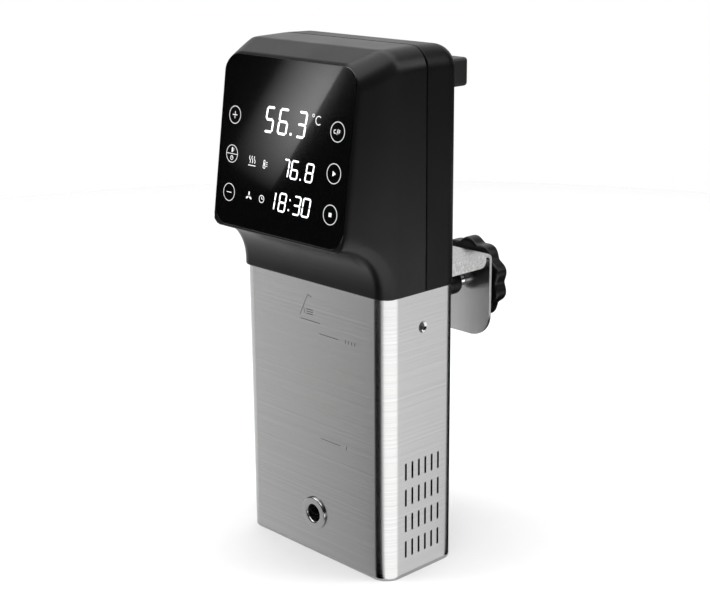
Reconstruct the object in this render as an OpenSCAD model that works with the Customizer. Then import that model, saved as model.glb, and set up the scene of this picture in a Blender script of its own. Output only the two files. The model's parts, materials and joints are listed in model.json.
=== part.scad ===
// Commercial sous vide circulator: a black head with a glass control panel,
// a brushed steel sleeve round the pump and heater, and a screw clamp at the back.
// X runs across the front, Y from front to back, Z up. Z = 0 is the foot of the sleeve.

/* [Sleeve] */
// Width of the steel sleeve
sleeve_w = 144.3; // [120:0.1:174]
// Depth of the steel sleeve
sleeve_d = 68.6; // [67:0.1:84]
// Height of the steel sleeve
sleeve_h = 200; // [166:1:240]
// Radius of the upright corners of the sleeve
sleeve_r = 11.8; // [9:0.1:14]
// Thickness of the sleeve's sheet
sleeve_wall = 1.2; // [0.8:0.1:1.6]
// Side screws, down from the top of the sleeve
sleeve_screw_drop = 24; // [20:1:30]

/* [Intake slots] */
// Slots in one row
slot_columns = 6; // [3:1:7]
// Rows of slots
slot_rows = 4; // [2:1:5]
// Width of one slot
slot_w = 1.6; // [1:0.1:3]
// Height of one slot
slot_h = 12.4; // [6:0.1:16]
// Distance between slots in a row
slot_pitch = 6.3; // [4:0.1:7]
// Distance between rows
row_pitch = 19; // [17:0.5:22]
// Height of the middle of the lowest row
row_first_z = 20; // [16:0.5:30]

/* [Head] */
// How far each side of the head stands out past the sleeve
head_lip = 1.25; // [0.8:0.05:3]
// How far the back of the head stands out past the sleeve
back_lip = 1.7; // [1:0.1:4]
// Height of the head above the sleeve
head_h = 159.9; // [133:0.1:192]
// Depth at which the front housing meets the rear cover
seam_y = 2; // [-3:0.5:6]
// Thickness of the head's shells
head_wall = 2.6; // [2.2:0.1:3.2]
// Height of the chin under the control panel
chin_h = 34.9; // [32:0.1:38]
// How far the panel's lower edge stands out past the sleeve
chin_reach = 31.1; // [28:0.1:36]
// Radius of the scoop under the panel
scoop_r = 31; // [26:0.5:31]
// Lean of the control panel from upright
panel_lean = 8.15; // [6:0.05:10]
// How much narrower than the head the panel is, on each side
cheek = 7.9; // [4:0.1:12]

/* [Control panel] */
// Rim of the housing left round the glass
glass_rim = 1.95; // [1.5:0.05:4]
// Thickness of the glass
glass_t = 3; // [2:0.1:4]
// Radius of the glass corners
glass_r = 12; // [6:0.5:16]
// Ledge behind the edge of the glass
glass_ledge = 10; // [8:0.5:14]

/* [Pump] */
// Diameter of the drive shaft
shaft_d = 8; // [6:0.5:10]
// Height of the outlet above the foot
outlet_z = 30.2; // [27:0.1:36]
// Bore of the outlet
outlet_d = 12.4; // [10:0.1:15]
// Outer diameter of the outlet's flange
eyelet_d = 23.6; // [20:0.1:28]
// How far the outlet's flange stands out
eyelet_proud = 1.8; // [1:0.1:3]
// Diameter of the impeller
impeller_d = 34; // [28:0.5:41]
// Blades on the impeller
impeller_blades = 6; // [4:1:8]

/* [Motor] */
// Diameter of the motor's case
motor_d = 56; // [46:0.5:58]
// Height of the motor's case
motor_h = 54; // [45:1:65]
// Diameter of the cooling fan
fan_d = 50; // [40:1:54]
// Blades on the cooling fan
fan_blades = 7; // [5:1:9]

/* [Heater] */
// Diameter of the heater tube
heater_d = 8; // [6:0.5:10]
// Distance of each heater loop from the shaft
heater_x = 44; // [38:0.5:46]
// Half the distance between the two legs of a loop
heater_leg_y = 16; // [13:0.5:20]
// Height of the middle of the heater's lower bend
heater_bend_z = 76; // [66:1:100]
// Height at which the lower rod senses the water
low_water_z = 88.5; // [80:0.5:110]
// Full mark, down from the top of the sleeve
full_water_drop = 35.4; // [30:0.1:50]

/* [Clamp] */
// Width of the clamp bracket
bracket_w = 56; // [50:0.5:68]
// Reach of the bracket behind the sleeve
bracket_reach = 84.7; // [71:0.1:102]
// Thickness of the bracket's sheet
bracket_t = 2.2; // [1.5:0.1:2.7]
// Bracket's top, down from the top of the sleeve
bracket_drop = 3; // [2:0.5:8]
// Length of the bracket's outer leg
outer_leg_h = 65.5; // [55:0.5:79]
// Length of the bracket's inner leg
inner_leg_h = 48; // [44:0.5:58]
// Clamp screw, down from the bracket's top
clamp_drop = 25; // [23:0.5:30]
// Outer diameter of the clamp screw's thread
screw_d = 8; // [6:0.5:10]
// Diameter of the clamp knob over its lobes
knob_d = 63; // [52:0.5:76]
// Thickness of the clamp knob
knob_t = 12; // [10:0.5:15]
// Lobes on the clamp knob
knob_lobes = 10; // [7:1:12]
// Gap between the bracket and the knob
knob_gap = 4; // [3.6:0.1:6]
// Diameter of the clamp foot
foot_d = 18.4; // [15:0.1:22]
// Gap between the foot's back end and the bracket
foot_gap = 8.3; // [8.1:0.1:12]
// Gap left for a pot's wall, foot to bracket
pot_gap = 6.5; // [5:0.1:12]

/* [Handle] */
// Distance from the head's side to the handle
handle_side = 23.4; // [16:0.1:34]
// How far the handle stands out behind the head
handle_reach = 31.5; // [26:0.5:38]
// Height of the handle's bar
handle_h = 19; // [15:0.5:23]
// Thickness of the handle's bar and arms
handle_t = 9; // [7:0.5:11]

/* [Hidden] */
$fn = 64;

// Clearances shared by every fit
slip = 0.05;
ease = 0.15;
over = 1;

// The sleeve and the bulkhead that closes it
plate_t = 2;
seal_t = 1.5;
ledge_t = 3;
seal_z = sleeve_h + plate_t;
head_floor_z = seal_z + seal_t;
inner_w = sleeve_w - 2 * sleeve_wall;
inner_d = sleeve_d - 2 * sleeve_wall;
sleeve_back_y = sleeve_d / 2;
plate_w = sleeve_w - 1;
plate_d = sleeve_d - 1;
plate_r = sleeve_r - 0.5;
ledge_in = 12;
sleeve_screw_z = sleeve_h - sleeve_screw_drop;
bulkhead_screw_x = plate_w / 2 - 3.6;
bulkhead_screw_y = 19;

// The head's outline
head_w = sleeve_w + 2 * head_lip;
head_top_z = sleeve_h + head_h;
head_rear_y = sleeve_d / 2 + back_lip;
neck_y = -sleeve_d / 2 - 1.5;
scoop_z = sleeve_h + 3.5;
cheek_depth = 30;
rear_corner = 12;
rear_round = 13;
top_round = 15;

// The panel: its lower and upper edges, and the frame at its middle
panel_w = head_w - 2 * cheek;
panel_low_y = -sleeve_d / 2 - chin_reach;
panel_low_z = sleeve_h + chin_h;
panel_top_z = head_top_z - 7.8;
panel_len = (panel_top_z - panel_low_z) / cos(panel_lean);
panel_top_y = panel_low_y + panel_len * sin(panel_lean);
panel_y = (panel_low_y + panel_top_y) / 2;
panel_z = (panel_low_z + panel_top_z) / 2;
glass_w = panel_w - 2 * glass_rim;
glass_h = panel_len - 2 * glass_rim;
gasket_t = 0.8;
ledge_w = glass_t + gasket_t;
front_inset = ledge_w + head_wall;
window_w = glass_w - 2 * glass_ledge;
window_h = glass_h - 2 * glass_ledge;

// Pump, shaft, motor and fan levels
eyelet_spigot_d = outlet_d + 3.6;
spigot_len = 10;
duct_d = eyelet_spigot_d + 3.4;
pump_wall = 2.5;
pump_d = impeller_d + 12;
pump_screw_r = pump_d / 2 - 1.75;
pump_z0 = outlet_z - 12.2;
pump_z1 = outlet_z + duct_d / 2 + 0.1;
column_d = 22;
column_wall = 3;
column_z1 = sleeve_h - 6;
shaft_z0 = pump_z0 + 6;
motor_z0 = sleeve_h + 14;
motor_z1 = motor_z0 + motor_h;
fan_z0 = motor_z1 + 4;
fan_t = 10;
shaft_z1 = fan_z0 + fan_t + 2;

// Boards: the bay is the depth left between the power board and the motor
board_x = head_w / 2 - 19.4;
board_t = 1.6;
board_y = 28;
board_z0 = sleeve_h + 12;
board_z1 = head_top_z - 37.9;
bay = board_x - motor_d / 2 - 10;
standoff_z = [sleeve_h + 50, board_z1 - 22];
cable_z = panel_z - 26.5;
cable_h = 12;

// Screws of the head, handle and inlet
post_x = head_w / 2 - 11.4;
post_z = [sleeve_h + 22, head_top_z - 25.9];
handle_w = head_w - 2 * handle_side;
handle_z = head_top_z - 23.8;
handle_screw_x = handle_w / 2 - handle_t / 2;
inlet_x = 38;
inlet_z = handle_z - handle_h / 2 - 24.6;
inlet_w = 27;
inlet_h = 20;
inlet_depth = 20;

// Probes in the bulkhead
probe_x = 32;
level_y = 6;
probe_d = 5;
level_d = 4;
probe_top_z = seal_z + 6;

// Clamp lengths along the depth
bracket_y = sleeve_back_y + bracket_reach;
bracket_top_z = sleeve_h - bracket_drop;
clamp_z = bracket_top_z - clamp_drop;
bracket_in_y = sleeve_back_y + bracket_t;
flange_in_y = bracket_y - bracket_t;
foot_back_y = flange_in_y - foot_gap;
pad_front_y = bracket_in_y + pot_gap;
pad_t = 7;
pad_d = foot_d + 4;
spigot_y = pad_front_y + 3;
foot_shoulder_y = pad_front_y + pad_t;
screw_tip_y = foot_shoulder_y + 4;
knob_y0 = bracket_y + knob_gap;
knob_y1 = knob_y0 + knob_t;
nut_d = screw_d + 8;
nut_t = 5;
bend_r = 5;
lip_h = 10;
bracket_holes_x = bracket_w / 2 - 10;
bracket_holes_z = [bracket_top_z - inner_leg_h + 8, bracket_top_z - 10];

// A rectangle with round corners, centred
module round_rect(w, d, r) {
    square([w - 2 * r, d], center = true);
    square([w, d - 2 * r], center = true);
    for (sx = [-1, 1], sy = [-1, 1])
        translate([sx * (w / 2 - r), sy * (d / 2 - r)]) circle(r);
}

// A round bar along the depth, from y0 to y1
module bar_y(d, y0, y1, x = 0, z = 0) {
    translate([x, y0, z]) rotate([-90, 0, 0]) cylinder(d = d, h = y1 - y0);
}

// A round bar upright, from z0 to z1
module bar_z(d, z0, z1, x = 0, y = 0) {
    translate([x, y, z0]) cylinder(d = d, h = z1 - z0);
}

// A box given by its two corners
module box(a, b) {
    translate(a) cube(b - a);
}

// Puts a flat drawing of depth and height across the width
module across(w) {
    rotate([90, 0, 90]) translate([0, 0, -w / 2]) linear_extrude(w) children();
}

// The four screws of the bulkhead, as upright bars
module bulkhead_screw_holes(d, z0, z1) {
    for (sx = [-1, 1], sy = [-1, 1])
        bar_z(d, z0, z1, sx * bulkhead_screw_x, sy * bulkhead_screw_y);
}

// Works in the panel's frame: X across, Y into the head, Z up the glass
module on_panel() {
    translate([0, panel_y, panel_z]) rotate([-panel_lean, 0, 0]) children();
}

// The head seen from the side, pulled in by t, and by f behind the glass
module head_side(t, f) {
    back = f / cos(panel_lean);
    round_z = head_top_z - 0.7 - rear_round;
    difference() {
        polygon([
            [neck_y + t, sleeve_h],
            [neck_y + t, scoop_z],
            [panel_low_y + back, scoop_z],
            [panel_low_y + back, panel_low_z],
            [panel_top_y + back - t * tan(panel_lean), panel_top_z - t],
            [panel_top_y + 21, head_top_z - 0.8 - t],
            [seam_y, head_top_z - t],
            [head_rear_y - rear_round, head_top_z - 0.7 - t],
            [head_rear_y - rear_round / 2, head_top_z - 0.7 - rear_round / 2 - t],
            [head_rear_y - t, round_z],
            [head_rear_y - t, sleeve_h]
        ]);
        translate([neck_y - scoop_r, scoop_z]) circle(scoop_r + t, $fn = 96);
    }
    translate([head_rear_y - rear_round, round_z]) circle(rear_round - t);
}

// The head seen along the panel's slope, pulled in by t
module head_plan(t) {
    half = head_w / 2 - t;
    face = panel_w / 2 - t;
    bulge = half - cheek * 0.25;
    polygon([
        [-face, -4], [face, -4], [face, 0], [bulge, cheek_depth * 0.55],
        [half, cheek_depth], [half, 160], [-half, 160],
        [-half, cheek_depth], [-bulge, cheek_depth * 0.55], [-face, 0]
    ]);
}

// The head seen from the front, pulled in by t
module head_front(t) {
    half = head_w / 2 - t;
    r = top_round - t;
    top = head_top_z - t;
    translate([-half, sleeve_h - 1]) square([2 * half, top - r - sleeve_h + 1]);
    translate([-half + r, sleeve_h + 20]) square([2 * (half - r), top - sleeve_h - 20]);
    for (s = [-1, 1]) translate([s * (half - r), top - r]) circle(r);
}

// The head seen from above, pulled in by t
module head_top(t) {
    half = head_w / 2 - t;
    r = rear_corner - t;
    back = head_rear_y - t;
    translate([-half, -head_h]) square([2 * half, head_h + back - r]);
    translate([r - half, -head_h]) square([2 * (half - r), head_h + back]);
    for (s = [-1, 1]) translate([s * (half - r), back - r]) circle(r);
}

// The head as one block, pulled in by t, and by f behind the glass
module head_block(t, f) {
    intersection() {
        across(head_w + 10) head_side(t, f);
        on_panel() translate([0, 0, -head_h]) linear_extrude(2 * head_h) head_plan(t);
        translate([0, 100, 0]) rotate([90, 0, 0]) linear_extrude(200) head_front(t);
        translate([0, 0, sleeve_h - 1]) linear_extrude(head_h + 2) head_top(t);
    }
}

// The hollow head before it is parted at the seam
module head_shell() {
    difference() {
        head_block(0, 0);
        difference() {
            head_block(head_wall, front_inset);
            box([-100, -100, 0], [100, 100, head_floor_z + ledge_t]);
        }
        translate([0, 0, sleeve_h]) linear_extrude(plate_t + seal_t + ledge_t + over)
            round_rect(plate_w - ledge_in, plate_d - ledge_in, plate_r - 5);
        translate([0, 0, sleeve_h - over]) linear_extrude(plate_t + seal_t + over)
            round_rect(plate_w + 2 * ease, plate_d + 2 * ease, plate_r);
        // recess for the glass, and the window behind it
        on_panel() translate([0, ledge_w, 0]) rotate([90, 0, 0])
            linear_extrude(ledge_w + 10)
                round_rect(glass_w + 2 * ease, glass_h + 2 * ease, glass_r);
        on_panel() translate([0, front_inset + 3, 0]) rotate([90, 0, 0])
            linear_extrude(front_inset) round_rect(window_w, window_h, 4);
        bulkhead_screw_holes(3, seal_z, head_floor_z + ledge_t + over);
    }
}

// Front shell: carries the glass and the bosses for the housing screws
module front_housing() {
    color([0.05, 0.05, 0.055]) {
        difference() {
            head_shell();
            box([-100, seam_y, 0], [100, 100, head_top_z + 10]);
            on_panel() board_screw_bars(2.5, front_inset - 2, front_inset + over);
        }
        for (s = [-1, 1], z = post_z) difference() {
            union() {
                bar_y(8, seam_y - 16, seam_y, s * post_x, z);
                translate([s * (post_x + 4.5), seam_y - 8, z])
                    cube([9, 16, 3], center = true);
            }
            bar_y(2.9, seam_y - 13, seam_y + over, s * post_x, z);
        }
    }
}

// Rear shell: carries the handle and the power inlet
module rear_cover() {
    color([0.035, 0.035, 0.04]) {
        difference() {
            head_shell();
            box([-100, -100, 0], [100, seam_y, head_top_z + 10]);
            for (s = [-1, 1], z = post_z)
                bar_y(7, head_rear_y - 6, head_rear_y + over, s * post_x, z);
            for (s = [-1, 1])
                bar_y(4.2, head_rear_y - 6, head_rear_y + over, s * handle_screw_x, handle_z);
            translate([inlet_x, head_rear_y, inlet_z])
                cube([inlet_w + 2 * ease, 12, inlet_h + 2 * ease], center = true);
        }
        for (s = [-1, 1], z = post_z) difference() {
            bar_y(10, seam_y, head_rear_y - head_wall + 0.5, s * post_x, z);
            bar_y(3.3, seam_y - over, head_rear_y, s * post_x, z);
            bar_y(7, head_rear_y - 6, head_rear_y + over, s * post_x, z);
        }
    }
}

// Loop handle on the back of the head
module carry_handle() {
    y1 = head_rear_y + handle_reach;
    gap_w = handle_w - 2 * handle_t;
    color([0.045, 0.045, 0.05]) difference() {
        translate([0, 0, handle_z - handle_h / 2]) linear_extrude(handle_h)
            difference() {
                union() {
                    translate([-handle_w / 2, head_rear_y])
                        square([handle_w, handle_reach - 6]);
                    translate([-handle_w / 2 + 6, y1 - 12])
                        square([handle_w - 12, 12]);
                    for (s = [-1, 1]) translate([s * (handle_w / 2 - 6), y1 - 6])
                        circle(6);
                }
                translate([-gap_w / 2, head_rear_y - over])
                    square([gap_w, handle_reach - handle_t + over]);
            }
        // the grip's lower edge is cut back for the fingers
        translate([0, y1, handle_z - handle_h / 2]) rotate([45, 0, 0])
            cube([handle_w + 2, 5, 5], center = true);
        for (s = [-1, 1])
            bar_y(3.6, head_rear_y - over, head_rear_y + 14, s * handle_screw_x, handle_z);
    }
}

// Screws from inside the rear cover into the handle's arms
module handle_screws() {
    y0 = head_rear_y - head_wall;
    color([0.7, 0.7, 0.72]) for (s = [-1, 1]) {
        bar_y(7, y0 - 2.4, y0, s * handle_screw_x, handle_z);
        bar_y(3.6, y0, head_rear_y + 13, s * handle_screw_x, handle_z);
    }
}

// Four long screws that join the two shells
module housing_screws() {
    color([0.2, 0.2, 0.21]) for (s = [-1, 1], z = post_z) difference() {
        union() {
            bar_y(6.2, head_rear_y - 6, head_rear_y - 3.4, s * post_x, z);
            bar_y(2.9, seam_y - 12, head_rear_y - 6, s * post_x, z);
        }
        bar_y(3, head_rear_y - 5, head_rear_y, s * post_x, z, $fn = 6);
    }
}

// Tinted touch glass
module control_glass() {
    color([0.01, 0.01, 0.012]) on_panel() translate([0, glass_t, 0])
        rotate([90, 0, 0]) linear_extrude(glass_t) round_rect(glass_w, glass_h, glass_r);
}

// Foam frame that sticks the glass to the housing
module glass_gasket() {
    color([0.1, 0.1, 0.1]) on_panel() translate([0, ledge_w, 0])
        rotate([90, 0, 0]) linear_extrude(gasket_t) difference() {
            round_rect(glass_w - 1, glass_h - 1, glass_r - 0.5);
            round_rect(window_w + 2, window_h + 2, 5);
        }
}

// Lit digit block, between the glass and the control board
module display_module() {
    color([0.9, 0.9, 0.88]) on_panel()
        box([17.5 - window_w / 2, glass_t, 2 - window_h / 2],
            [window_w / 2 - 17.5, front_inset, window_h / 2 - 14.5]);
}

// Touch and display circuit board, seated on the back of the panel's ledge
module control_board() {
    half_w = window_w / 2 + 6;
    half_h = window_h / 2 + 6;
    color([0.05, 0.3, 0.14]) on_panel() difference() {
        union() {
            box([-half_w, front_inset, -half_h], [half_w, front_inset + board_t, half_h]);
            // carriers of the touch springs, which reach the glass behind the keys
            for (s = [-1, 1])
                box([s * (window_w / 2 - 6) - 4, glass_t, 4 - window_h / 2],
                    [s * (window_w / 2 - 6) + 4, front_inset, window_h / 2 - 4]);
            // connector for the ribbon cable
            box([-12, front_inset + board_t, cable_z - panel_z - 2],
                [12, front_inset + board_t + 4, cable_z - panel_z + cable_h + 2]);
        }
        board_screw_bars(2.5, front_inset - over, front_inset + 3);
    }
}

// The four screws of the control board, as bars square to the panel
module board_screw_bars(d, y0, y1) {
    for (sx = [-1, 1], sy = [-1, 1])
        bar_y(d, y0, y1, sx * (window_w / 2 + 3), sy * (window_h / 2 - 6));
}

// Screws from the control board into the panel's ledge
module board_screws() {
    color([0.7, 0.7, 0.72]) on_panel() {
        board_screw_bars(4.6, front_inset + board_t, front_inset + board_t + 1.4);
        board_screw_bars(2.5, front_inset - 1.8, front_inset + board_t);
    }
}

// Flat cable from the control board's connector to the power board's
module ribbon_cable() {
    drop = (cable_z + cable_h / 2 - panel_z) / cos(panel_lean);
    y0 = panel_y + (front_inset + board_t + 2) * cos(panel_lean) + drop * sin(panel_lean);
    x1 = 3.5 - board_x;
    color([0.6, 0.6, 0.62]) translate([0, 0, cable_z]) linear_extrude(cable_h)
        polygon([
            [-12, y0 - 0.5], [x1 + 5.6, y0 - 0.5], [x1, y0 + 6], [x1, -board_y],
            [x1 + 1, -board_y], [x1 + 1, y0 + 6.4], [x1 + 6, y0 + 0.5], [-12, y0 + 0.5]
        ]);
}

// Pressed steel motor case, open inside
module motor_can() {
    color([0.62, 0.63, 0.65]) difference() {
        bar_z(motor_d, motor_z0, motor_z1);
        bar_z(motor_d - 4, motor_z0 + 4, motor_z1 - 4);
        bar_z(20, motor_z0 - over, motor_z1 + over);
        motor_screw_bars(3.2, motor_z0 - over, motor_z0 + 3);
        for (a = [30:60:330]) rotate([0, 0, a])
            translate([motor_d / 2, 0, (motor_z0 + motor_z1) / 2])
                cube([10, 7, motor_h - 20], center = true);
    }
}

// Wound stator ring inside the case
module motor_stator() {
    color([0.7, 0.4, 0.18]) difference() {
        bar_z(motor_d - 4, motor_z0 + 12, motor_z1 - 12);
        bar_z(34, motor_z0 + 11, motor_z1 - 11);
    }
}

// Rotor core pressed on the shaft
module motor_rotor() {
    color([0.3, 0.3, 0.32]) difference() {
        bar_z(33, motor_z0 + 12, motor_z1 - 12);
        bar_z(shaft_d, motor_z0 + 11, motor_z1 - 11);
    }
}

// Two ball bearings that carry the shaft in the case
module motor_bearings() {
    color([0.75, 0.76, 0.78]) for (z = [motor_z0, motor_z1 - 4]) difference() {
        bar_z(20, z, z + 4);
        bar_z(shaft_d + 2 * slip, z - over, z + 4 + over);
    }
}

// Table on four legs that holds the motor above the bulkhead
module motor_bracket() {
    leg_x = motor_d / 2 - 2;
    leg_y = motor_d / 2 - 5;
    color([0.8, 0.8, 0.82]) difference() {
        union() {
            translate([0, 0, motor_z0 - 3]) linear_extrude(3)
                round_rect(motor_d + 8, motor_d + 4, 6);
            for (sx = [-1, 1], sy = [-1, 1])
                bar_z(7, seal_z, motor_z0 - 3, sx * leg_x, sy * leg_y);
        }
        bar_z(26, motor_z0 - 4, motor_z0 + over);
        motor_screw_bars(3.2, motor_z0 - 4, motor_z0 + over);
    }
}

// The four screws of the motor, as upright bars
module motor_screw_bars(d, z0, z1) {
    for (a = [45:90:315]) rotate([0, 0, a]) bar_z(d, z0, z1, 19);
}

// Screws from under the table into the motor's case
module motor_screws() {
    color([0.25, 0.25, 0.26]) {
        motor_screw_bars(5.5, motor_z0 - 5, motor_z0 - 3);
        motor_screw_bars(3.2, motor_z0 - 3, motor_z0 + 3);
    }
}

// Fan on top of the shaft that cools the head
module cooling_fan() {
    color([0.12, 0.12, 0.13]) difference() {
        union() {
            bar_z(18, fan_z0, fan_z0 + fan_t);
            intersection() {
                bar_z(fan_d, fan_z0, fan_z0 + fan_t);
                for (i = [0:fan_blades - 1]) rotate([0, 0, i * 360 / fan_blades])
                    translate([fan_d / 4 + 3, 0, fan_z0 + fan_t / 2]) rotate([38, 0, 0])
                        cube([fan_d / 2, 1.4, 14], center = true);
            }
        }
        bar_z(shaft_d, fan_z0 - over, fan_z0 + fan_t + over);
    }
}

// Mains circuit board beside the motor
module power_board() {
    color([0.07, 0.32, 0.16]) difference() {
        union() {
            box([-board_x - board_t, -board_y, board_z0], [-board_x, board_y, board_z1]);
            // connector for the ribbon cable
            box([-board_x, -board_y, cable_z - 2],
                [8 - board_x, 8 - board_y, cable_z + cable_h + 2]);
        }
        standoff_bars(3.2, -board_x - board_t - over, -board_x + over);
    }
}

// The four posts of the power board, as bars across the head
module standoff_bars(d, x0, x1) {
    for (y = [seam_y - 15, seam_y + 18], z = standoff_z) translate([x0, y, z])
        rotate([0, 90, 0]) cylinder(d = d, h = x1 - x0);
}

// Posts between the power board and the side of the head
module board_standoffs() {
    color([0.85, 0.85, 0.82]) {
        standoff_bars(6, head_wall - head_w / 2, -board_x - board_t);
        standoff_bars(3.2, -board_x - board_t, -board_x);
    }
}

// Transformer for the low voltage supply
module power_transformer() {
    color([0.85, 0.7, 0.2]) {
        box([-board_x, -20, board_z1 - 30], [-board_x + 22, 6, board_z1 - 4]);
        box([-board_x, -17, board_z1 - 33], [-board_x + bay, 3, board_z1 - 1]);
    }
}

// Mains filter capacitor
module filter_capacitor() {
    color([0.15, 0.2, 0.45]) translate([-board_x, 15, board_z1 - 9]) rotate([0, 90, 0])
        cylinder(d = 14, h = 24);
}

// Relay that switches the heater
module heater_relay() {
    color([0.1, 0.2, 0.55])
        box([-board_x, -24, sleeve_h + 20], [bay - board_x, -6, sleeve_h + 42]);
}

// Finned aluminium cooler for the heater's switch
module heat_sink() {
    color([0.75, 0.76, 0.78]) {
        box([-board_x, 2, sleeve_h + 20], [4 - board_x, 28, sleeve_h + 45]);
        for (i = [0:5]) box([4 - board_x, 3 + i * 4.4, sleeve_h + 20],
            [bay - 1 - board_x, 4.6 + i * 4.4, sleeve_h + 45]);
    }
}

// Mains inlet in the rear cover
module power_inlet() {
    color([0.06, 0.06, 0.065]) translate([inlet_x, head_rear_y, inlet_z]) difference() {
        union() {
            box([-inlet_w / 2, -inlet_depth, -inlet_h / 2], [inlet_w / 2, 0, inlet_h / 2]);
            box([-inlet_w / 2 - 4, 0, -inlet_h / 2 - 3], [inlet_w / 2 + 4, 2, inlet_h / 2 + 3]);
        }
        box([2 - inlet_w / 2, 3 - inlet_depth, 2.5 - inlet_h / 2],
            [inlet_w / 2 - 2, 2 + over, inlet_h / 2 - 2.5]);
        inlet_pin_bars(-inlet_depth - over, 4 - inlet_depth);
    }
}

// The inlet's three pins, from depth y0 to y1
module inlet_pin_bars(y0, y1) {
    for (x = [-7, 0, 7]) translate([x - 1, y0, x == 0 ? 0.5 : -4.5]) cube([2, y1 - y0, 4]);
}

// Three contact pins of the inlet
module inlet_pins() {
    color([0.78, 0.7, 0.4]) translate([inlet_x, head_rear_y, inlet_z])
        inlet_pin_bars(-inlet_depth - 5, -2);
}

// Steel plate that closes the sleeve, with ears that hold it
module bulkhead_plate() {
    ear_x = inner_w / 2 - ease;
    color([0.78, 0.78, 0.8]) difference() {
        union() {
            translate([0, 0, sleeve_h]) linear_extrude(plate_t)
                round_rect(plate_w, plate_d, plate_r);
            for (s = [-1, 1]) {
                ear_h = sleeve_screw_drop + 8;
                translate([s * (ear_x - 1), 0, sleeve_h - ear_h / 2])
                    cube([2, 20, ear_h + 0.5], center = true);
                translate([s * (ear_x - 2.5), 0, sleeve_screw_z])
                    cube([5, 12, 12], center = true);
            }
        }
        bar_z(20, sleeve_h - over, seal_z + over);
        bulkhead_screw_holes(3.2, sleeve_h - over, seal_z + over);
        for (sx = [-1, 1], sy = [-1, 1])
            bar_z(heater_d + 2 * ease, sleeve_h - over, seal_z + over,
                sx * heater_x, sy * heater_leg_y);
        bar_z(probe_d + 2 * ease, sleeve_h - over, seal_z + over, probe_x);
        for (s = [-1, 1])
            bar_z(level_d + 2 * ease, sleeve_h - over, seal_z + over, -probe_x, s * level_y);
        translate([-sleeve_w, 0, sleeve_screw_z]) rotate([0, 90, 0])
            cylinder(d = 4, h = 2 * sleeve_w);
    }
}

// Rubber seal between the bulkhead and the head
module bulkhead_gasket() {
    color([0.12, 0.12, 0.12]) difference() {
        translate([0, 0, seal_z]) linear_extrude(seal_t) difference() {
            round_rect(plate_w, plate_d, plate_r);
            round_rect(plate_w - ledge_in, plate_d - ledge_in, plate_r - 5);
        }
        bulkhead_screw_holes(3.2, seal_z - over, head_floor_z + over);
    }
}

// Screws up through the bulkhead into the two shells
module bulkhead_screws() {
    color([0.72, 0.72, 0.74]) {
        bulkhead_screw_holes(5.6, sleeve_h - 2, sleeve_h);
        bulkhead_screw_holes(3, sleeve_h, head_floor_z + ledge_t);
    }
}

// Seal round the shaft where it passes the bulkhead
module shaft_seal() {
    color([0.1, 0.1, 0.1]) difference() {
        union() {
            bar_z(20, column_z1, seal_z);
            bar_z(24, seal_z, seal_z + 2.5);
        }
        bar_z(shaft_d + 2 * slip, column_z1 - over, seal_z + 4);
    }
}

// Long shaft from the fan down to the impeller
module drive_shaft() {
    color([0.82, 0.82, 0.84]) bar_z(shaft_d, shaft_z0, shaft_z1);
}

// Tube that carries the pump below the bulkhead
module shaft_column() {
    color([0.78, 0.78, 0.8]) difference() {
        union() {
            bar_z(column_d, pump_z1, column_z1);
            // foot that sits on the pump, and flange under the bulkhead
            bar_z(30, pump_z1, pump_z1 + 3);
            bar_z(34, column_z1, sleeve_h);
        }
        bar_z(column_d - 2 * column_wall, pump_z1 + 12, column_z1 - 4);
        bar_z(14, pump_z1 - over, pump_z1 + 13);
        bar_z(20, column_z1 - 5, sleeve_h + over);
        for (a = [0, 90]) rotate([0, 0, a]) translate([-20, 0, pump_z1 + 40])
            rotate([0, 90, 0]) cylinder(d = 6, h = 40);
    }
}

// Carbon bush that guides the lower end of the shaft
module lower_bush() {
    color([0.18, 0.18, 0.18]) difference() {
        bar_z(14, pump_z1, pump_z1 + 12);
        bar_z(shaft_d + 2 * slip, pump_z1 - over, pump_z1 + 13);
    }
}

// Open impeller on the end of the shaft
module impeller() {
    z0 = shaft_z0 - 1;
    color([0.85, 0.85, 0.82]) difference() {
        union() {
            bar_z(impeller_d, z0 + 9, z0 + 11);
            bar_z(14, z0, z0 + 11);
            for (i = [0:impeller_blades - 1]) rotate([0, 0, i * 360 / impeller_blades])
                translate([5, 0, z0]) rotate([0, 0, 25])
                    cube([impeller_d / 2 - 6, 1.6, 10]);
        }
        bar_z(shaft_d, shaft_z0, z0 + 12);
    }
}

// Pump housing with its duct to the front of the sleeve
module pump_housing() {
    front = -sleeve_d / 2 + sleeve_wall;
    color([0.15, 0.15, 0.16]) difference() {
        union() {
            bar_z(pump_d, pump_z0, pump_z1);
            bar_y(duct_d, front, -10, 0, outlet_z);
        }
        bar_z(impeller_d + 5, pump_z0 + pump_wall, pump_z1 - pump_wall);
        bar_z(20, pump_z0 - over, pump_z0 + pump_wall + over);
        bar_z(shaft_d + 4, pump_z1 - 4, pump_z1 + over);
        base_screw_bars(2.6, pump_z0 - over, pump_z0 + 8);
        // duct, with a shelf along its floor
        intersection() {
            bar_y(outlet_d - 1.4, front - over, -12, 0, outlet_z);
            box([-20, -60, outlet_z - outlet_d / 2 + 2], [20, 0, outlet_z + 20]);
        }
        bar_y(eyelet_spigot_d + 2 * slip, front - over, front + spigot_len, 0, outlet_z);
    }
}

// Steel eyelet where the water leaves
module outlet_eyelet() {
    y0 = -sleeve_d / 2;
    color([0.8, 0.8, 0.82]) difference() {
        union() {
            bar_y(eyelet_d, y0 - eyelet_proud, y0, 0, outlet_z);
            bar_y(eyelet_spigot_d, y0, y0 + sleeve_wall + spigot_len, 0, outlet_z);
        }
        bar_y(outlet_d, y0 - 5, y0 + 20, 0, outlet_z);
    }
}

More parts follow.
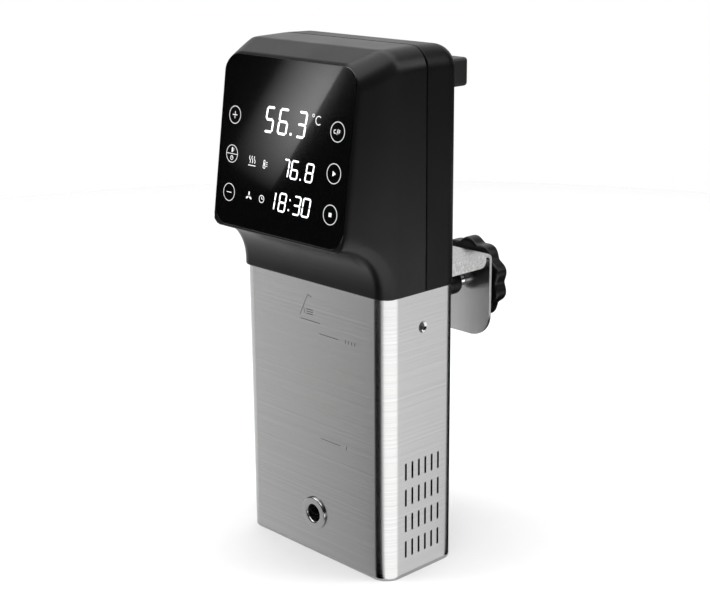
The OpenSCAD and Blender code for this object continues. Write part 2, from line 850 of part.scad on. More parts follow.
// One U loop of heater tube, at distance x from the shaft
module heater_loop(x) {
    translate([x, 0, 0]) {
        for (s = [-1, 1])
            bar_z(heater_d, heater_bend_z, seal_z + 16, 0, s * heater_leg_y);
        translate([0, 0, heater_bend_z]) rotate([90, 0, 90]) rotate([0, 0, 180])
            rotate_extrude(angle = 180) translate([heater_leg_y, 0]) circle(d = heater_d);
    }
}

// Heater loop on the left
module heater_left() {
    color([0.6, 0.58, 0.55]) heater_loop(-heater_x);
}

// Heater loop on the right
module heater_right() {
    color([0.6, 0.58, 0.55]) heater_loop(heater_x);
}

// Hexagon nuts that clamp the heater's legs in the bulkhead
module heater_glands() {
    color([0.82, 0.78, 0.6]) for (sx = [-1, 1], sy = [-1, 1], z = [sleeve_h - 4, seal_z])
        difference() {
            bar_z(heater_d + 8, z, z + 4, sx * heater_x, sy * heater_leg_y, $fn = 6);
            bar_z(heater_d, z - over, z + 5, sx * heater_x, sy * heater_leg_y);
        }
}

// Sheathed temperature probe
module temperature_probe() {
    color([0.8, 0.8, 0.82]) {
        bar_z(probe_d, heater_bend_z - 16, probe_top_z, probe_x);
        translate([probe_x, 0, heater_bend_z - 16]) sphere(d = probe_d);
    }
}

// Two rods that sense the water level
module level_probes() {
    color([0.8, 0.8, 0.82]) {
        bar_z(level_d, low_water_z, probe_top_z, -probe_x, -level_y);
        bar_z(level_d, sleeve_h - full_water_drop, probe_top_z, -probe_x, level_y);
    }
}

// Collars that hold the probes in the bulkhead
module probe_glands() {
    color([0.88, 0.88, 0.86]) for (z = [sleeve_h - 3, seal_z]) {
        difference() {
            bar_z(probe_d + 4, z, z + 3, probe_x);
            bar_z(probe_d, z - over, z + 4, probe_x);
        }
        for (s = [-1, 1]) difference() {
            bar_z(level_d + 4, z, z + 3, -probe_x, s * level_y);
            bar_z(level_d, z - over, z + 4, -probe_x, s * level_y);
        }
    }
}

// Brushed steel sleeve with its intake slots
module sleeve() {
    color([0.75, 0.75, 0.76]) difference() {
        linear_extrude(sleeve_h) difference() {
            round_rect(sleeve_w, sleeve_d, sleeve_r);
            round_rect(inner_w, inner_d, sleeve_r - sleeve_wall);
        }
        for (i = [0:slot_columns - 1], j = [0:slot_rows - 1])
            translate([0, (i - (slot_columns - 1) / 2) * slot_pitch, row_first_z + j * row_pitch])
                cube([sleeve_w + 4, slot_w, slot_h], center = true);
        // dimples for the side screws
        for (s = [-1, 1]) translate([s * sleeve_w / 2, 0, sleeve_screw_z])
            rotate([0, -90 * s, 0]) cylinder(d1 = 8, d2 = 4.2, h = sleeve_wall + 0.01);
        bar_y(eyelet_spigot_d + 2 * slip, -sleeve_d, 0, 0, outlet_z);
        bracket_screw_bars(4.2, sleeve_back_y - 3, sleeve_back_y + over);
    }
}

// The four screws of the base cap, as upright bars in the wall of the pump
module base_screw_bars(d, z0, z1) {
    for (a = [45:90:315]) rotate([0, 0, a]) bar_z(d, z0, z1, pump_screw_r);
}

// Plastic cap in the foot of the sleeve
module base_cap() {
    w = inner_w - 2 * ease;
    d = inner_d - 2 * ease;
    r = sleeve_r - sleeve_wall - ease;
    color([0.08, 0.08, 0.085]) difference() {
        union() {
            linear_extrude(3) round_rect(w, d, r);
            linear_extrude(12) difference() {
                round_rect(w, d, r);
                round_rect(w - 5, d - 5, r - 2.5);
            }
            // ring of posts the pump stands on
            base_screw_bars(7, 2, pump_z0);
        }
        base_screw_bars(2.8, -over, pump_z0 + over);
        base_screw_bars(5.2, -over, 2.4);
    }
}

// Screws up through the base cap's posts into the pump housing
module base_screws() {
    color([0.72, 0.72, 0.74]) difference() {
        union() {
            base_screw_bars(2.6, 2.4, pump_z0 + 8);
            base_screw_bars(4.8, 0.6, 2.4);
        }
        for (a = [45:90:315]) rotate([0, 0, a])
            bar_z(2.2, -over, 1.6, pump_screw_r, $fn = 6);
    }
}

// Countersunk screws that hold the sleeve to the bulkhead's ears
module sleeve_screws() {
    color([0.3, 0.3, 0.31]) for (s = [-1, 1]) translate([s * sleeve_w / 2, 0, sleeve_screw_z])
        rotate([0, -90 * s, 0]) difference() {
            union() {
                translate([0, 0, 0.3]) cylinder(d1 = 7, d2 = 4, h = sleeve_wall - 0.3);
                cylinder(d = 4, h = 7);
            }
            translate([0, 0, -over]) cylinder(d = 2.6, h = over + 1.6, $fn = 6);
        }
}

// The screws of the bracket, as bars along the depth
module bracket_screw_bars(d, y0, y1) {
    for (s = [-1, 1], z = bracket_holes_z) bar_y(d, y0, y1, s * bracket_holes_x, z);
}

// Bent steel bracket that reaches over the pot's wall
module clamp_bracket() {
    half = bracket_w / 2;
    color([0.76, 0.76, 0.77]) difference() {
        union() {
            intersection() {
                across(bracket_w) bracket_side();
                translate([0, bracket_y + 10, 0]) rotate([90, 0, 0])
                    linear_extrude(bracket_y + 10) bracket_front();
            }
            for (s = [-1, 1])
                translate([s * (half - bracket_t / 2), 0, 0]) across(bracket_t) bracket_lip();
        }
        bar_y(screw_d + 1, flange_in_y - over, bracket_y + over, 0, clamp_z);
        for (s = [-1, 1], z = bracket_holes_z)
            translate([s * bracket_holes_x, bracket_in_y, z]) rotate([90, 0, 0])
                cylinder(d1 = 8, d2 = 4.2, h = bracket_t + 0.01);
    }
}

// The bracket's bent strip, in depth and height
module bracket_side() {
    difference() {
        bracket_hook(sleeve_back_y, bracket_y, bracket_top_z, bend_r);
        bracket_hook(bracket_in_y, flange_in_y, bracket_top_z - bracket_t, bend_r - bracket_t);
        translate([0, 0]) square([bracket_in_y + 2, bracket_top_z - inner_leg_h]);
    }
}

// A block from y0 to y1 below height z, with round upper corners
module bracket_hook(y0, y1, z, r) {
    translate([y0, 0]) square([y1 - y0, z - r]);
    translate([y0 + r, 0]) square([y1 - y0 - 2 * r, z]);
    translate([y0 + r, z - r]) circle(r);
    translate([y1 - r, z - r]) circle(r);
}

// The bracket's outline seen from behind
module bracket_front() {
    half = bracket_w / 2;
    r = 18;
    z0 = bracket_top_z - outer_leg_h;
    translate([-half, z0 + r]) square([bracket_w, outer_leg_h]);
    translate([r - half, z0]) square([bracket_w - 2 * r, outer_leg_h]);
    for (s = [-1, 1]) translate([s * (half - r), z0 + r]) circle(r);
}

// A stiffening lip under one side of the bracket's top
module bracket_lip() {
    y0 = bracket_in_y - 0.5;
    y1 = flange_in_y - 4;
    z0 = bracket_top_z - lip_h;
    translate([y0, z0]) square([y1 - y0 - 5, lip_h - 0.5]);
    translate([y0, z0 + 5]) square([y1 - y0, lip_h - 5.5]);
    translate([y1 - 5, z0 + 5]) circle(5);
}

// Countersunk screws through the bracket and the sleeve
module bracket_screws() {
    color([0.7, 0.7, 0.72]) for (s = [-1, 1], z = bracket_holes_z)
        translate([s * bracket_holes_x, bracket_in_y, z]) rotate([90, 0, 0]) difference() {
            union() {
                cylinder(d1 = 7.6, d2 = 4, h = bracket_t);
                cylinder(d = 4, h = bracket_t + sleeve_wall + 5);
            }
            translate([0, 0, -over]) cylinder(d = 2.6, h = over + 1.5, $fn = 6);
        }
}

// Tapped plate inside the sleeve, behind the bracket
module nut_plate() {
    y1 = sleeve_back_y - sleeve_wall;
    z0 = bracket_holes_z[0] - 8;
    z1 = bracket_holes_z[1] + 8;
    color([0.72, 0.72, 0.74]) difference() {
        box([-bracket_holes_x - 8, y1 - 3, z0], [bracket_holes_x + 8, y1, z1]);
        bracket_screw_bars(4, y1 - 4, y1 + over);
    }
}

// Threaded nut welded to the bracket's outer leg
module clamp_nut() {
    color([0.72, 0.72, 0.74]) difference() {
        bar_y(nut_d, bracket_y, bracket_y + nut_t, 0, clamp_z);
        bar_y(screw_d + 2 * slip, bracket_y - over, bracket_y + nut_t + over, 0, clamp_z);
    }
}

// Threaded clamp screw
module clamp_screw() {
    color([0.75, 0.75, 0.77]) bar_y(screw_d, screw_tip_y, knob_y1 - 3, 0, clamp_z);
}

// Lobed knob fixed on the clamp screw, hollow towards the bracket
module clamp_knob() {
    lobe = 6.4;
    ring = knob_d / 2 - lobe;
    color([0.05, 0.05, 0.055]) translate([0, 0, clamp_z]) difference() {
        union() {
            bar_y(2 * ring + 3, knob_y0, knob_y1);
            for (i = [0:knob_lobes - 1]) {
                a = (i + 0.5) * 360 / knob_lobes;
                bar_y(2 * lobe, knob_y0, knob_y1, ring * cos(a), ring * sin(a));
            }
        }
        bar_y(nut_d + 4, knob_y0 - over, knob_y0 + nut_t);
        bar_y(screw_d, knob_y0, knob_y1 - 3);
    }
}

// Long foot that the screw pushes and that does not turn
module clamp_foot() {
    color([0.07, 0.07, 0.075]) difference() {
        union() {
            bar_y(foot_d, foot_shoulder_y, foot_back_y, 0, clamp_z);
            bar_y(foot_d - 5, spigot_y, foot_shoulder_y, 0, clamp_z);
        }
        bar_y(screw_d + 2 * slip, screw_tip_y, foot_back_y + over, 0, clamp_z);
    }
}

// Rubber pad on the end of the foot
module foot_pad() {
    color([0.09, 0.09, 0.09]) difference() {
        bar_y(pad_d, pad_front_y, foot_shoulder_y, 0, clamp_z);
        bar_y(foot_d - 5, spigot_y, foot_shoulder_y + over, 0, clamp_z);
    }
}

front_housing();
rear_cover();
carry_handle();
handle_screws();
housing_screws();
control_glass();
glass_gasket();
display_module();
control_board();
board_screws();
ribbon_cable();
motor_can();
motor_stator();
motor_rotor();
motor_bearings();
motor_bracket();
motor_screws();
cooling_fan();
power_board();
board_standoffs();
power_transformer();
filter_capacitor();
heater_relay();
heat_sink();
power_inlet();
inlet_pins();
bulkhead_plate();
bulkhead_gasket();
bulkhead_screws();
shaft_seal();
drive_shaft();
shaft_column();
lower_bush();
impeller();
pump_housing();
outlet_eyelet();
heater_left();
heater_right();
heater_glands();
temperature_probe();
level_probes();
probe_glands();
sleeve();
base_cap();
base_screws();
sleeve_screws();
clamp_bracket();
bracket_screws();
nut_plate();
clamp_nut();
clamp_screw();
clamp_knob();
clamp_foot();
foot_pad();
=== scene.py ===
"""The looks of a sous vide circulator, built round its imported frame."""

import json
import logging
import math
from dataclasses import dataclass
from enum import Enum
from typing import Callable, Iterable, Sequence

import bmesh
import bpy
import numpy as np
from mathutils import Matrix, Vector


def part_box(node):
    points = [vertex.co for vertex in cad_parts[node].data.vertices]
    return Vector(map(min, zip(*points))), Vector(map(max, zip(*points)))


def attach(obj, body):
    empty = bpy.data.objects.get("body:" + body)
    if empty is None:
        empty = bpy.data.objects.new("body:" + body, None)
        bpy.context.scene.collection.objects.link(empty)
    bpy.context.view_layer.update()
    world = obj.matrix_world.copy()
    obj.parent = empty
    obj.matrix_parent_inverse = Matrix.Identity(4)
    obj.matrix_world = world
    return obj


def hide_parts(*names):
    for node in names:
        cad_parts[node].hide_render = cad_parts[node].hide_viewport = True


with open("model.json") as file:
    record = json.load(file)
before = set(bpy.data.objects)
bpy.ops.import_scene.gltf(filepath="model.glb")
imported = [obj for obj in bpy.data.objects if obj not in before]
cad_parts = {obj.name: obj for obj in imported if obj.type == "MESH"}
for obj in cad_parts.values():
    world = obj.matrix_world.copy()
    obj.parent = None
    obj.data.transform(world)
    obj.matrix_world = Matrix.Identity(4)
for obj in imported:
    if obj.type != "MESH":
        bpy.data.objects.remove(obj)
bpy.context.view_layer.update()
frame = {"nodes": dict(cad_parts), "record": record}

LOG = logging.getLogger("circulator")
MM = 0.001

Point2 = tuple[float, float]
Point3 = tuple[float, float, float]
Colour = tuple[float, float, float]


def box_mm(node: str) -> tuple[Vector, Vector]:
    """Give a CAD node's lowest and highest corners in millimetres.

    Args:
        node: The CAD node's name.

    Returns:
        The two corners.
    """
    low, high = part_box(node)
    return low / MM, high / MM


# ---------------------------------------------------------------- shader node groups


class Graph:
    """A short way to add and join the nodes of one shader tree."""

    def __init__(self, tree: bpy.types.NodeTree) -> None:
        """Work on the given tree."""
        self.tree = tree

    def add(self, kind: str, **settings: object) -> bpy.types.Node:
        """Add a node and set its properties.

        Args:
            kind: The node's type name without its ShaderNode prefix.
            **settings: Properties of the node.

        Returns:
            The new node.
        """
        node = self.tree.nodes.new("ShaderNode" + kind)
        for name, value in settings.items():
            setattr(node, name, value)
        return node

    def feed(self, socket: bpy.types.NodeSocket, value: object) -> None:
        """Join an output to an input socket, or set the socket to a plain value."""
        if isinstance(value, bpy.types.NodeSocket):
            self.tree.links.new(value, socket)
        else:
            socket.default_value = value

    def math(self, operation: str, a: object, b: object = 0.0) -> bpy.types.NodeSocket:
        """Put two values through a Math node.

        Args:
            operation: The Math node's operation.
            a: The first number or socket.
            b: The second number or socket.

        Returns:
            The result's socket.
        """
        node = self.add("Math", operation=operation)
        self.feed(node.inputs[0], a)
        self.feed(node.inputs[1], b)
        return node.outputs[0]

    def remap(self, value: object, low: float, high: float, to_low: float,
              to_high: float) -> bpy.types.NodeSocket:
        """Stretch a range of values onto another one.

        Args:
            value: The number or socket that is stretched.
            low: Start of the old range.
            high: End of the old range.
            to_low: Start of the new range.
            to_high: End of the new range.

        Returns:
            The result's socket.
        """
        node = self.add("MapRange")
        for socket, number in zip(node.inputs, (value, low, high, to_low, to_high)):
            self.feed(socket, number)
        return node.outputs[0]

    def blend(self, share: object, a: object, b: object) -> bpy.types.NodeSocket:
        """Mix two colours.

        Args:
            share: How much of the second colour shows.
            a: The first colour or socket.
            b: The second colour or socket.

        Returns:
            The mixed colour's socket.
        """
        node = self.add("Mix", data_type="RGBA")
        for index, value in ((0, share), (6, a), (7, b)):
            self.feed(node.inputs[index], value)
        return node.outputs[2]

    def noise(self, place: object, scale: float, detail: float = 2.0,
              roughness: float = 0.5) -> bpy.types.NodeSocket:
        """Add smooth noise.

        Args:
            place: The socket that gives the place.
            scale: Cells per unit of place.
            detail: Octaves of finer noise.
            roughness: Strength of the finer octaves.

        Returns:
            The noise value's socket.
        """
        node = self.add("TexNoise")
        self.feed(node.inputs["Vector"], place)
        for name, value in (("Scale", scale), ("Detail", detail), ("Roughness", roughness)):
            self.feed(node.inputs[name], value)
        return node.outputs["Fac"]


class Grain(Enum):
    """The kinds of surface that the finishes choose from."""

    MOULDED = "moulded_grain"
    BRUSHED = "brushed_lines"
    SPECKLED = "speckled_cells"
    WOUND = "wound_wire"
    TURNED = "turned_rings"


Sockets = tuple[bpy.types.NodeSocket, ...]
MASKS = ("edge_wear", "settled_dust")


class GroupShelf:
    """Builds each shared node group once and hands it out."""

    def __init__(self) -> None:
        """Start with an empty shelf."""
        self.made: dict[str, bpy.types.NodeTree] = {}

    def get(self, name: str) -> bpy.types.NodeTree:
        """Give a group by name, and build it the first time.

        Args:
            name: A Grain value or one of MASKS.

        Returns:
            The node group.
        """
        if name not in self.made:
            self.made[name] = self.build(name)
        return self.made[name]

    def build(self, name: str) -> bpy.types.NodeTree:
        """Build a group round the method of its own name.

        Args:
            name: A Grain value, whose group gives Height and Tone, or one of MASKS.

        Returns:
            The node group.
        """
        group = bpy.data.node_groups.new(name, "ShaderNodeTree")
        is_mask = name in MASKS
        inputs = {"Stretch": "NodeSocketVector"}
        if is_mask:
            inputs["Amount"] = "NodeSocketFloat"
        labels = ("Mask",) if is_mask else ("Height", "Tone")
        for label, kind in inputs.items():
            group.interface.new_socket(label, in_out="INPUT", socket_type=kind)
        for label in labels:
            group.interface.new_socket(label, in_out="OUTPUT", socket_type="NodeSocketFloat")
        graph = Graph(group)
        source = group.nodes.new("NodeGroupInput")
        sink = group.nodes.new("NodeGroupOutput")
        place = graph.add("VectorMath", operation="MULTIPLY")
        graph.feed(place.inputs[0], graph.add("TexCoord").outputs["Object"])
        graph.feed(place.inputs[1], source.outputs["Stretch"])
        values = getattr(self, name)(graph, place.outputs[0])
        if is_mask:
            values = (graph.math("MULTIPLY", values[0], source.outputs["Amount"]),)
        for label, value in zip(labels, values):
            graph.feed(sink.inputs[label], value)
        return group

    @staticmethod
    def moulded_grain(graph: Graph, place: bpy.types.NodeSocket) -> Sockets:
        """Give the fine pebbled grain of moulded plastic."""
        fine = graph.noise(place, 1.0, 3.0, 0.6)
        broad = graph.noise(place, 0.02, 2.0)
        return fine, graph.math("ADD", graph.math("MULTIPLY", fine, 0.35),
                                graph.math("MULTIPLY", broad, 0.65))

    @staticmethod
    def brushed_lines(graph: Graph, place: bpy.types.NodeSocket) -> Sockets:
        """Give long scratches, short scratches and slow bands of a brushed sheet."""
        lines = graph.noise(place, 1.0, 4.0, 0.7)
        slow = graph.noise(place, 0.13, 2.0)
        shift = graph.add("VectorMath", operation="MULTIPLY")
        graph.feed(shift.inputs[0], place)
        graph.feed(shift.inputs[1], (3.7, 3.7, 0.45))
        short = graph.remap(graph.noise(shift.outputs[0], 1.0, 2.0), 0.60, 0.74, 0.0, 1.0)
        height = graph.math("SUBTRACT", lines, graph.math("MULTIPLY", short, 0.5))
        tone = graph.math("ADD", graph.math("MULTIPLY", lines, 0.6),
                          graph.math("MULTIPLY", slow, 0.4))
        return height, graph.math("ADD", tone, graph.math("MULTIPLY", short, 0.16))

    @staticmethod
    def speckled_cells(graph: Graph, place: bpy.types.NodeSocket) -> Sockets:
        """Give the small cells of rubber, foam and cast surfaces."""
        cells = graph.add("TexVoronoi", feature="SMOOTH_F1")
        graph.feed(cells.inputs["Vector"], place)
        graph.feed(cells.inputs["Scale"], 1.0)
        return cells.outputs["Distance"], graph.noise(place, 0.3, 3.0)

    @staticmethod
    def wound_wire(graph: Graph, place: bpy.types.NodeSocket) -> Sockets:
        """Give turns of wire laid side by side up the object."""
        wave = graph.add("TexWave", wave_type="BANDS", bands_direction="Z")
        for name, value in (("Vector", place), ("Scale", 1.0), ("Distortion", 0.4)):
            graph.feed(wave.inputs[name], value)
        return wave.outputs["Fac"], graph.noise(place, 0.5, 3.0)

    @staticmethod
    def turned_rings(graph: Graph, place: bpy.types.NodeSocket) -> Sockets:
        """Give the fine marks of a turned or ground metal surface."""
        return graph.noise(place, 1.0, 5.0, 0.65), graph.noise(place, 0.09, 3.0, 0.6)

    @staticmethod
    def edge_wear(graph: Graph, place: bpy.types.NodeSocket) -> Sockets:
        """Give a mask that is high on worn edges, broken up by noise."""
        geometry = graph.add("NewGeometry")
        edge = graph.remap(geometry.outputs["Pointiness"], 0.52, 0.60, 0.0, 1.0)
        broken = graph.remap(graph.noise(place, 1.0, 4.0, 0.7), 0.42, 0.62, 0.0, 1.0)
        return (graph.math("MULTIPLY", edge, broken),)

    @staticmethod
    def settled_dust(graph: Graph, place: bpy.types.NodeSocket) -> Sockets:
        """Give a mask of faint dust on faces that look up."""
        split = graph.add("SeparateXYZ")
        graph.feed(split.inputs[0], graph.add("NewGeometry").outputs["Normal"])
        up = graph.remap(split.outputs["Z"], 0.45, 1.0, 0.0, 1.0)
        cloud = graph.remap(graph.noise(place, 1.0, 5.0, 0.75), 0.40, 0.75, 0.0, 1.0)
        return (graph.math("MULTIPLY", up, cloud),)


GROUPS = GroupShelf()
TONE_RANGE = (0.3, 0.7)
WEAR_CELLS = (700.0, 700.0, 700.0)
WEAR_POLISH = 0.1
DUST_CELLS = (240.0, 240.0, 240.0)
DUST_COLOUR = (0.35, 0.34, 0.32, 1.0)
DUST_DULLNESS = 0.3


def blank_material(name: str) -> tuple[bpy.types.Material, Graph, bpy.types.NodeSocket]:
    """Start a material.

    Args:
        name: The material's name.

    Returns:
        The material, its graph and the socket that takes its surface.
    """
    made = bpy.data.materials.new(name)
    made.use_nodes = True
    made.node_tree.nodes.clear()
    graph = Graph(made.node_tree)
    return made, graph, graph.add("OutputMaterial").inputs["Surface"]


@dataclass(frozen=True)
class Finish:
    """One surface finish and the shader that shows it."""

    name: str
    dark: Colour
    light: Colour
    roughness: float
    spread: float = 0.05
    metallic: float = 0.0
    specular: float = 0.5
    coat: float = 0.0
    coat_roughness: float = 0.05
    anisotropy: float = 0.0
    grain: Grain = Grain.MOULDED
    stretch: Point3 = (900.0, 900.0, 900.0)
    bump: float = 0.1
    depth_mm: float = 0.05
    wear: float = 0.0
    wear_colour: Colour = (0.2, 0.2, 0.2)
    dust: float = 0.0
    glow: float = 0.0

    def group(self, graph: Graph, name: str, stretch: Point3,
              amount: float | None = None) -> bpy.types.Node:
        """Place a shared node group in this finish's material.

        Args:
            graph: The material's graph.
            name: The group's name.
            stretch: Cells per metre along each axis.
            amount: The group's Amount, where it has one.

        Returns:
            The group's node.
        """
        node = graph.add("Group", node_tree=GROUPS.get(name))
        node.inputs["Stretch"].default_value = stretch
        if amount is not None:
            node.inputs["Amount"].default_value = amount
        return node

    def material(self) -> bpy.types.Material:
        """Build the finish's material.

        Returns:
            The new material.
        """
        made, graph, surface = blank_material(self.name)
        shader = graph.add("BsdfPrincipled")
        graph.feed(surface, shader.outputs[0])
        grain = self.group(graph, self.grain.value, self.stretch)
        tone = graph.remap(grain.outputs["Tone"], *TONE_RANGE, 0.0, 1.0)
        colour = graph.blend(tone, (*self.dark, 1.0), (*self.light, 1.0))
        rough = graph.remap(grain.outputs["Tone"], *TONE_RANGE, self.roughness + self.spread,
                            self.roughness - self.spread)
        if self.wear > 0:
            worn = self.group(graph, "edge_wear", WEAR_CELLS, self.wear)
            colour = graph.blend(worn.outputs["Mask"], colour, (*self.wear_colour, 1.0))
            rough = graph.math("SUBTRACT", rough,
                               graph.math("MULTIPLY", worn.outputs["Mask"], WEAR_POLISH))
        if self.dust > 0:
            dusty = self.group(graph, "settled_dust", DUST_CELLS, self.dust)
            colour = graph.blend(dusty.outputs["Mask"], colour, DUST_COLOUR)
            rough = graph.math("ADD", rough,
                               graph.math("MULTIPLY", dusty.outputs["Mask"], DUST_DULLNESS))
        graph.feed(shader.inputs["Base Color"], colour)
        graph.feed(shader.inputs["Roughness"], rough)
        bump = graph.add("Bump")
        bump.inputs["Strength"].default_value = self.bump
        bump.inputs["Distance"].default_value = self.depth_mm * MM
        graph.feed(bump.inputs["Height"], grain.outputs["Height"])
        graph.feed(shader.inputs["Normal"], bump.outputs[0])
        for socket, value in (("Metallic", self.metallic), ("Specular IOR Level", self.specular),
                              ("Coat Weight", self.coat), ("Coat Roughness", self.coat_roughness),
                              ("Anisotropic", self.anisotropy)):
            shader.inputs[socket].default_value = value
        if self.anisotropy > 0:
            tangent = graph.add("Tangent", direction_type="RADIAL", axis="Z")
            graph.feed(shader.inputs["Tangent"], tangent.outputs[0])
        if self.glow > 0:
            graph.feed(shader.inputs["Emission Color"], colour)
            shader.inputs["Emission Strength"].default_value = self.glow
        return made


def grey(value: float, warmth: float = 0.0) -> Colour:
    """Give a grey, a little warmer or cooler.

    Args:
        value: The grey's brightness.
        warmth: How much redder it is than blue.

    Returns:
        The colour.
    """
    return (value * (1 + warmth), value, value * (1 - warmth))


STEEL_LINES = (2.5, 2.5, 5200.0)
BENT_LINES = (4200.0, 2.5, 2.5)
FINE = (1500.0, 1500.0, 1500.0)
COARSE = (600.0, 600.0, 600.0)

FINISHES: dict[str, Finish] = {f.name: f for f in (
    Finish("head_black", grey(0.0035), grey(0.0062), 0.34, 0.05, specular=0.19, stretch=FINE,
           bump=0.10, wear=0.3, wear_colour=grey(0.02), dust=0.010),
    Finish("cover_black", grey(0.0030), grey(0.0052), 0.38, 0.05, specular=0.12, stretch=FINE,
           bump=0.12, wear=0.3, wear_colour=grey(0.02), dust=0.010),
    Finish("handle_black", grey(0.0040), grey(0.0080), 0.46, 0.06, specular=0.35, stretch=COARSE,
           bump=0.25, wear=0.5, wear_colour=grey(0.03), dust=0.02),
    Finish("panel_glass", grey(0.0012), grey(0.0020), 0.07, 0.02, specular=0.62, coat=1.0,
           coat_roughness=0.02, stretch=COARSE, bump=0.004),
    Finish("display_white", grey(0.88, -0.02), grey(0.98, -0.02), 0.45, 0.05, stretch=COARSE,
           bump=0.02, glow=1.35),
    Finish("foam_black", grey(0.008), grey(0.02), 0.95, 0.04, grain=Grain.SPECKLED,
           stretch=FINE, bump=0.7, depth_mm=0.2),
    Finish("board_green", (0.010, 0.075, 0.030), (0.018, 0.115, 0.050), 0.38, 0.08, coat=0.4,
           stretch=COARSE, bump=0.2),
    Finish("cable_grey", grey(0.32), grey(0.42), 0.55, grain=Grain.WOUND,
           stretch=(1.0, 1.0, 320.0), bump=0.7, depth_mm=0.2),
    Finish("motor_steel", grey(0.42, 0.02), grey(0.56, 0.02), 0.36, 0.08, metallic=1.0,
           grain=Grain.TURNED, stretch=COARSE, bump=0.08, wear=0.4, wear_colour=grey(0.75)),
    Finish("copper", (0.42, 0.14, 0.05), (0.72, 0.30, 0.12), 0.28, 0.08, metallic=1.0,
           grain=Grain.WOUND, stretch=(1.0, 1.0, 700.0), bump=0.8, depth_mm=0.3),
    Finish("core_steel", grey(0.12), grey(0.22), 0.48, 0.08, metallic=0.9, grain=Grain.WOUND,
           stretch=(1.0, 1.0, 900.0), bump=0.5, depth_mm=0.1),
    Finish("bright_steel", grey(0.52, 0.01), grey(0.70, 0.01), 0.24, 0.07, metallic=1.0,
           grain=Grain.TURNED, stretch=(700.0, 260.0, 700.0), bump=0.06, wear=0.4,
           wear_colour=grey(0.85)),
    Finish("fan_black", grey(0.02), grey(0.04), 0.5, bump=0.2),
    Finish("nylon_white", grey(0.58, 0.04), grey(0.70, 0.03), 0.42, 0.06, bump=0.15,
           stretch=COARSE),
    Finish("relay_blue", (0.010, 0.035, 0.16), (0.02, 0.06, 0.24), 0.3, 0.05, coat=0.3, bump=0.1),
    Finish("tape_yellow", (0.50, 0.28, 0.03), (0.66, 0.40, 0.06), 0.3, 0.06, coat=0.5,
           grain=Grain.WOUND, stretch=(1.0, 1.0, 90.0), bump=0.3, depth_mm=0.2),
    Finish("aluminium", grey(0.55), grey(0.70), 0.34, 0.06, metallic=1.0, grain=Grain.BRUSHED,
           stretch=(800.0, 800.0, 20.0), bump=0.1),
    Finish("inlet_black", grey(0.006), grey(0.012), 0.42, 0.05, stretch=COARSE, bump=0.2,
           wear=0.4, wear_colour=grey(0.03)),
    Finish("contact_brass", (0.48, 0.33, 0.12), (0.66, 0.49, 0.20), 0.26, 0.06, metallic=1.0,
           grain=Grain.TURNED, stretch=COARSE, bump=0.06, wear=0.4,
           wear_colour=(0.85, 0.7, 0.4)),
    Finish("screw_steel", grey(0.42, 0.02), grey(0.58, 0.02), 0.30, 0.07, metallic=1.0,
           grain=Grain.TURNED, stretch=FINE, bump=0.08, wear=0.5, wear_colour=grey(0.8)),
    Finish("screw_black", grey(0.010), grey(0.022), 0.38, 0.06, metallic=0.6,
           grain=Grain.TURNED, stretch=FINE, bump=0.1, wear=0.6, wear_colour=grey(0.25)),
    Finish("seal_rubber", grey(0.008), grey(0.018), 0.72, 0.08, grain=Grain.SPECKLED,
           stretch=FINE, bump=0.3, dust=0.03),
    Finish("heater_steel", (0.36, 0.30, 0.24), (0.52, 0.47, 0.42), 0.32, 0.08, metallic=1.0,
           grain=Grain.TURNED, stretch=(300.0, 300.0, 60.0), bump=0.08),
    Finish("carbon", grey(0.02), grey(0.045), 0.55, 0.08, grain=Grain.SPECKLED, stretch=FINE,
           bump=0.2),
    Finish("pump_grey", grey(0.03), grey(0.05), 0.48, 0.06, stretch=COARSE, bump=0.2),
    Finish("sleeve_steel", grey(0.31, 0.004), grey(0.42, 0.004), 0.22, 0.06, metallic=1.0,
           anisotropy=0.55, grain=Grain.BRUSHED, stretch=STEEL_LINES, bump=0.30, depth_mm=0.03),
    Finish("bracket_steel", grey(0.34, 0.005), grey(0.42, 0.005), 0.25, 0.035, metallic=1.0,
           anisotropy=0.4, grain=Grain.BRUSHED, stretch=BENT_LINES, bump=0.03, depth_mm=0.02,
           wear=0.4, wear_colour=grey(0.9)),
    Finish("base_black", grey(0.005), grey(0.010), 0.48, 0.06, stretch=COARSE, bump=0.25),
    Finish("knob_black", grey(0.0030), grey(0.0060), 0.32, 0.06, specular=0.22, stretch=COARSE,
           bump=0.14, wear=0.5, wear_colour=grey(0.03), dust=0.01),
    Finish("etch_grey", grey(0.055), grey(0.09), 0.5, 0.08, metallic=0.7, stretch=FINE, bump=0.3),
    Finish("ring_white", grey(0.55), grey(0.66), 0.45, 0.05, stretch=COARSE, bump=0.02,
           glow=0.62),
    Finish("icon_white", grey(0.65), grey(0.78), 0.45, 0.05, stretch=COARSE, bump=0.02,
           glow=0.85),
    Finish("floor_paper", grey(0.86), grey(0.89), 0.92, 0.04, specular=0.1,
           stretch=(60.0, 60.0, 60.0), bump=0.02),
)}


class Paints:
    """Builds each finish's material once and hands it out."""

    made: dict[str, bpy.types.Material] = {}

    @classmethod
    def get(cls, name: str) -> bpy.types.Material:
        """Give the material of a finish.

        Args:
            name: The finish's name.

        Returns:
            Its material.
        """
        if name not in cls.made:
            cls.made[name] = FINISHES[name].material()
        return cls.made[name]


# ---------------------------------------------------------------- mesh building


def arc(centre: Point2, radius: float, start: float, end: float, steps: int) -> list[Point2]:
    """Give points along an arc.

    Args:
        centre: The arc's centre.
        radius: Its radius.
        start: Its first angle in degrees.
        end: Its last angle in degrees.
        steps: How many pieces it has.

    Returns:
        The points, both ends included.
    """
    turns = [math.radians(start + (end - start) * i / steps) for i in range(steps + 1)]
    return [(centre[0] + radius * math.cos(t), centre[1] + radius * math.sin(t)) for t in turns]


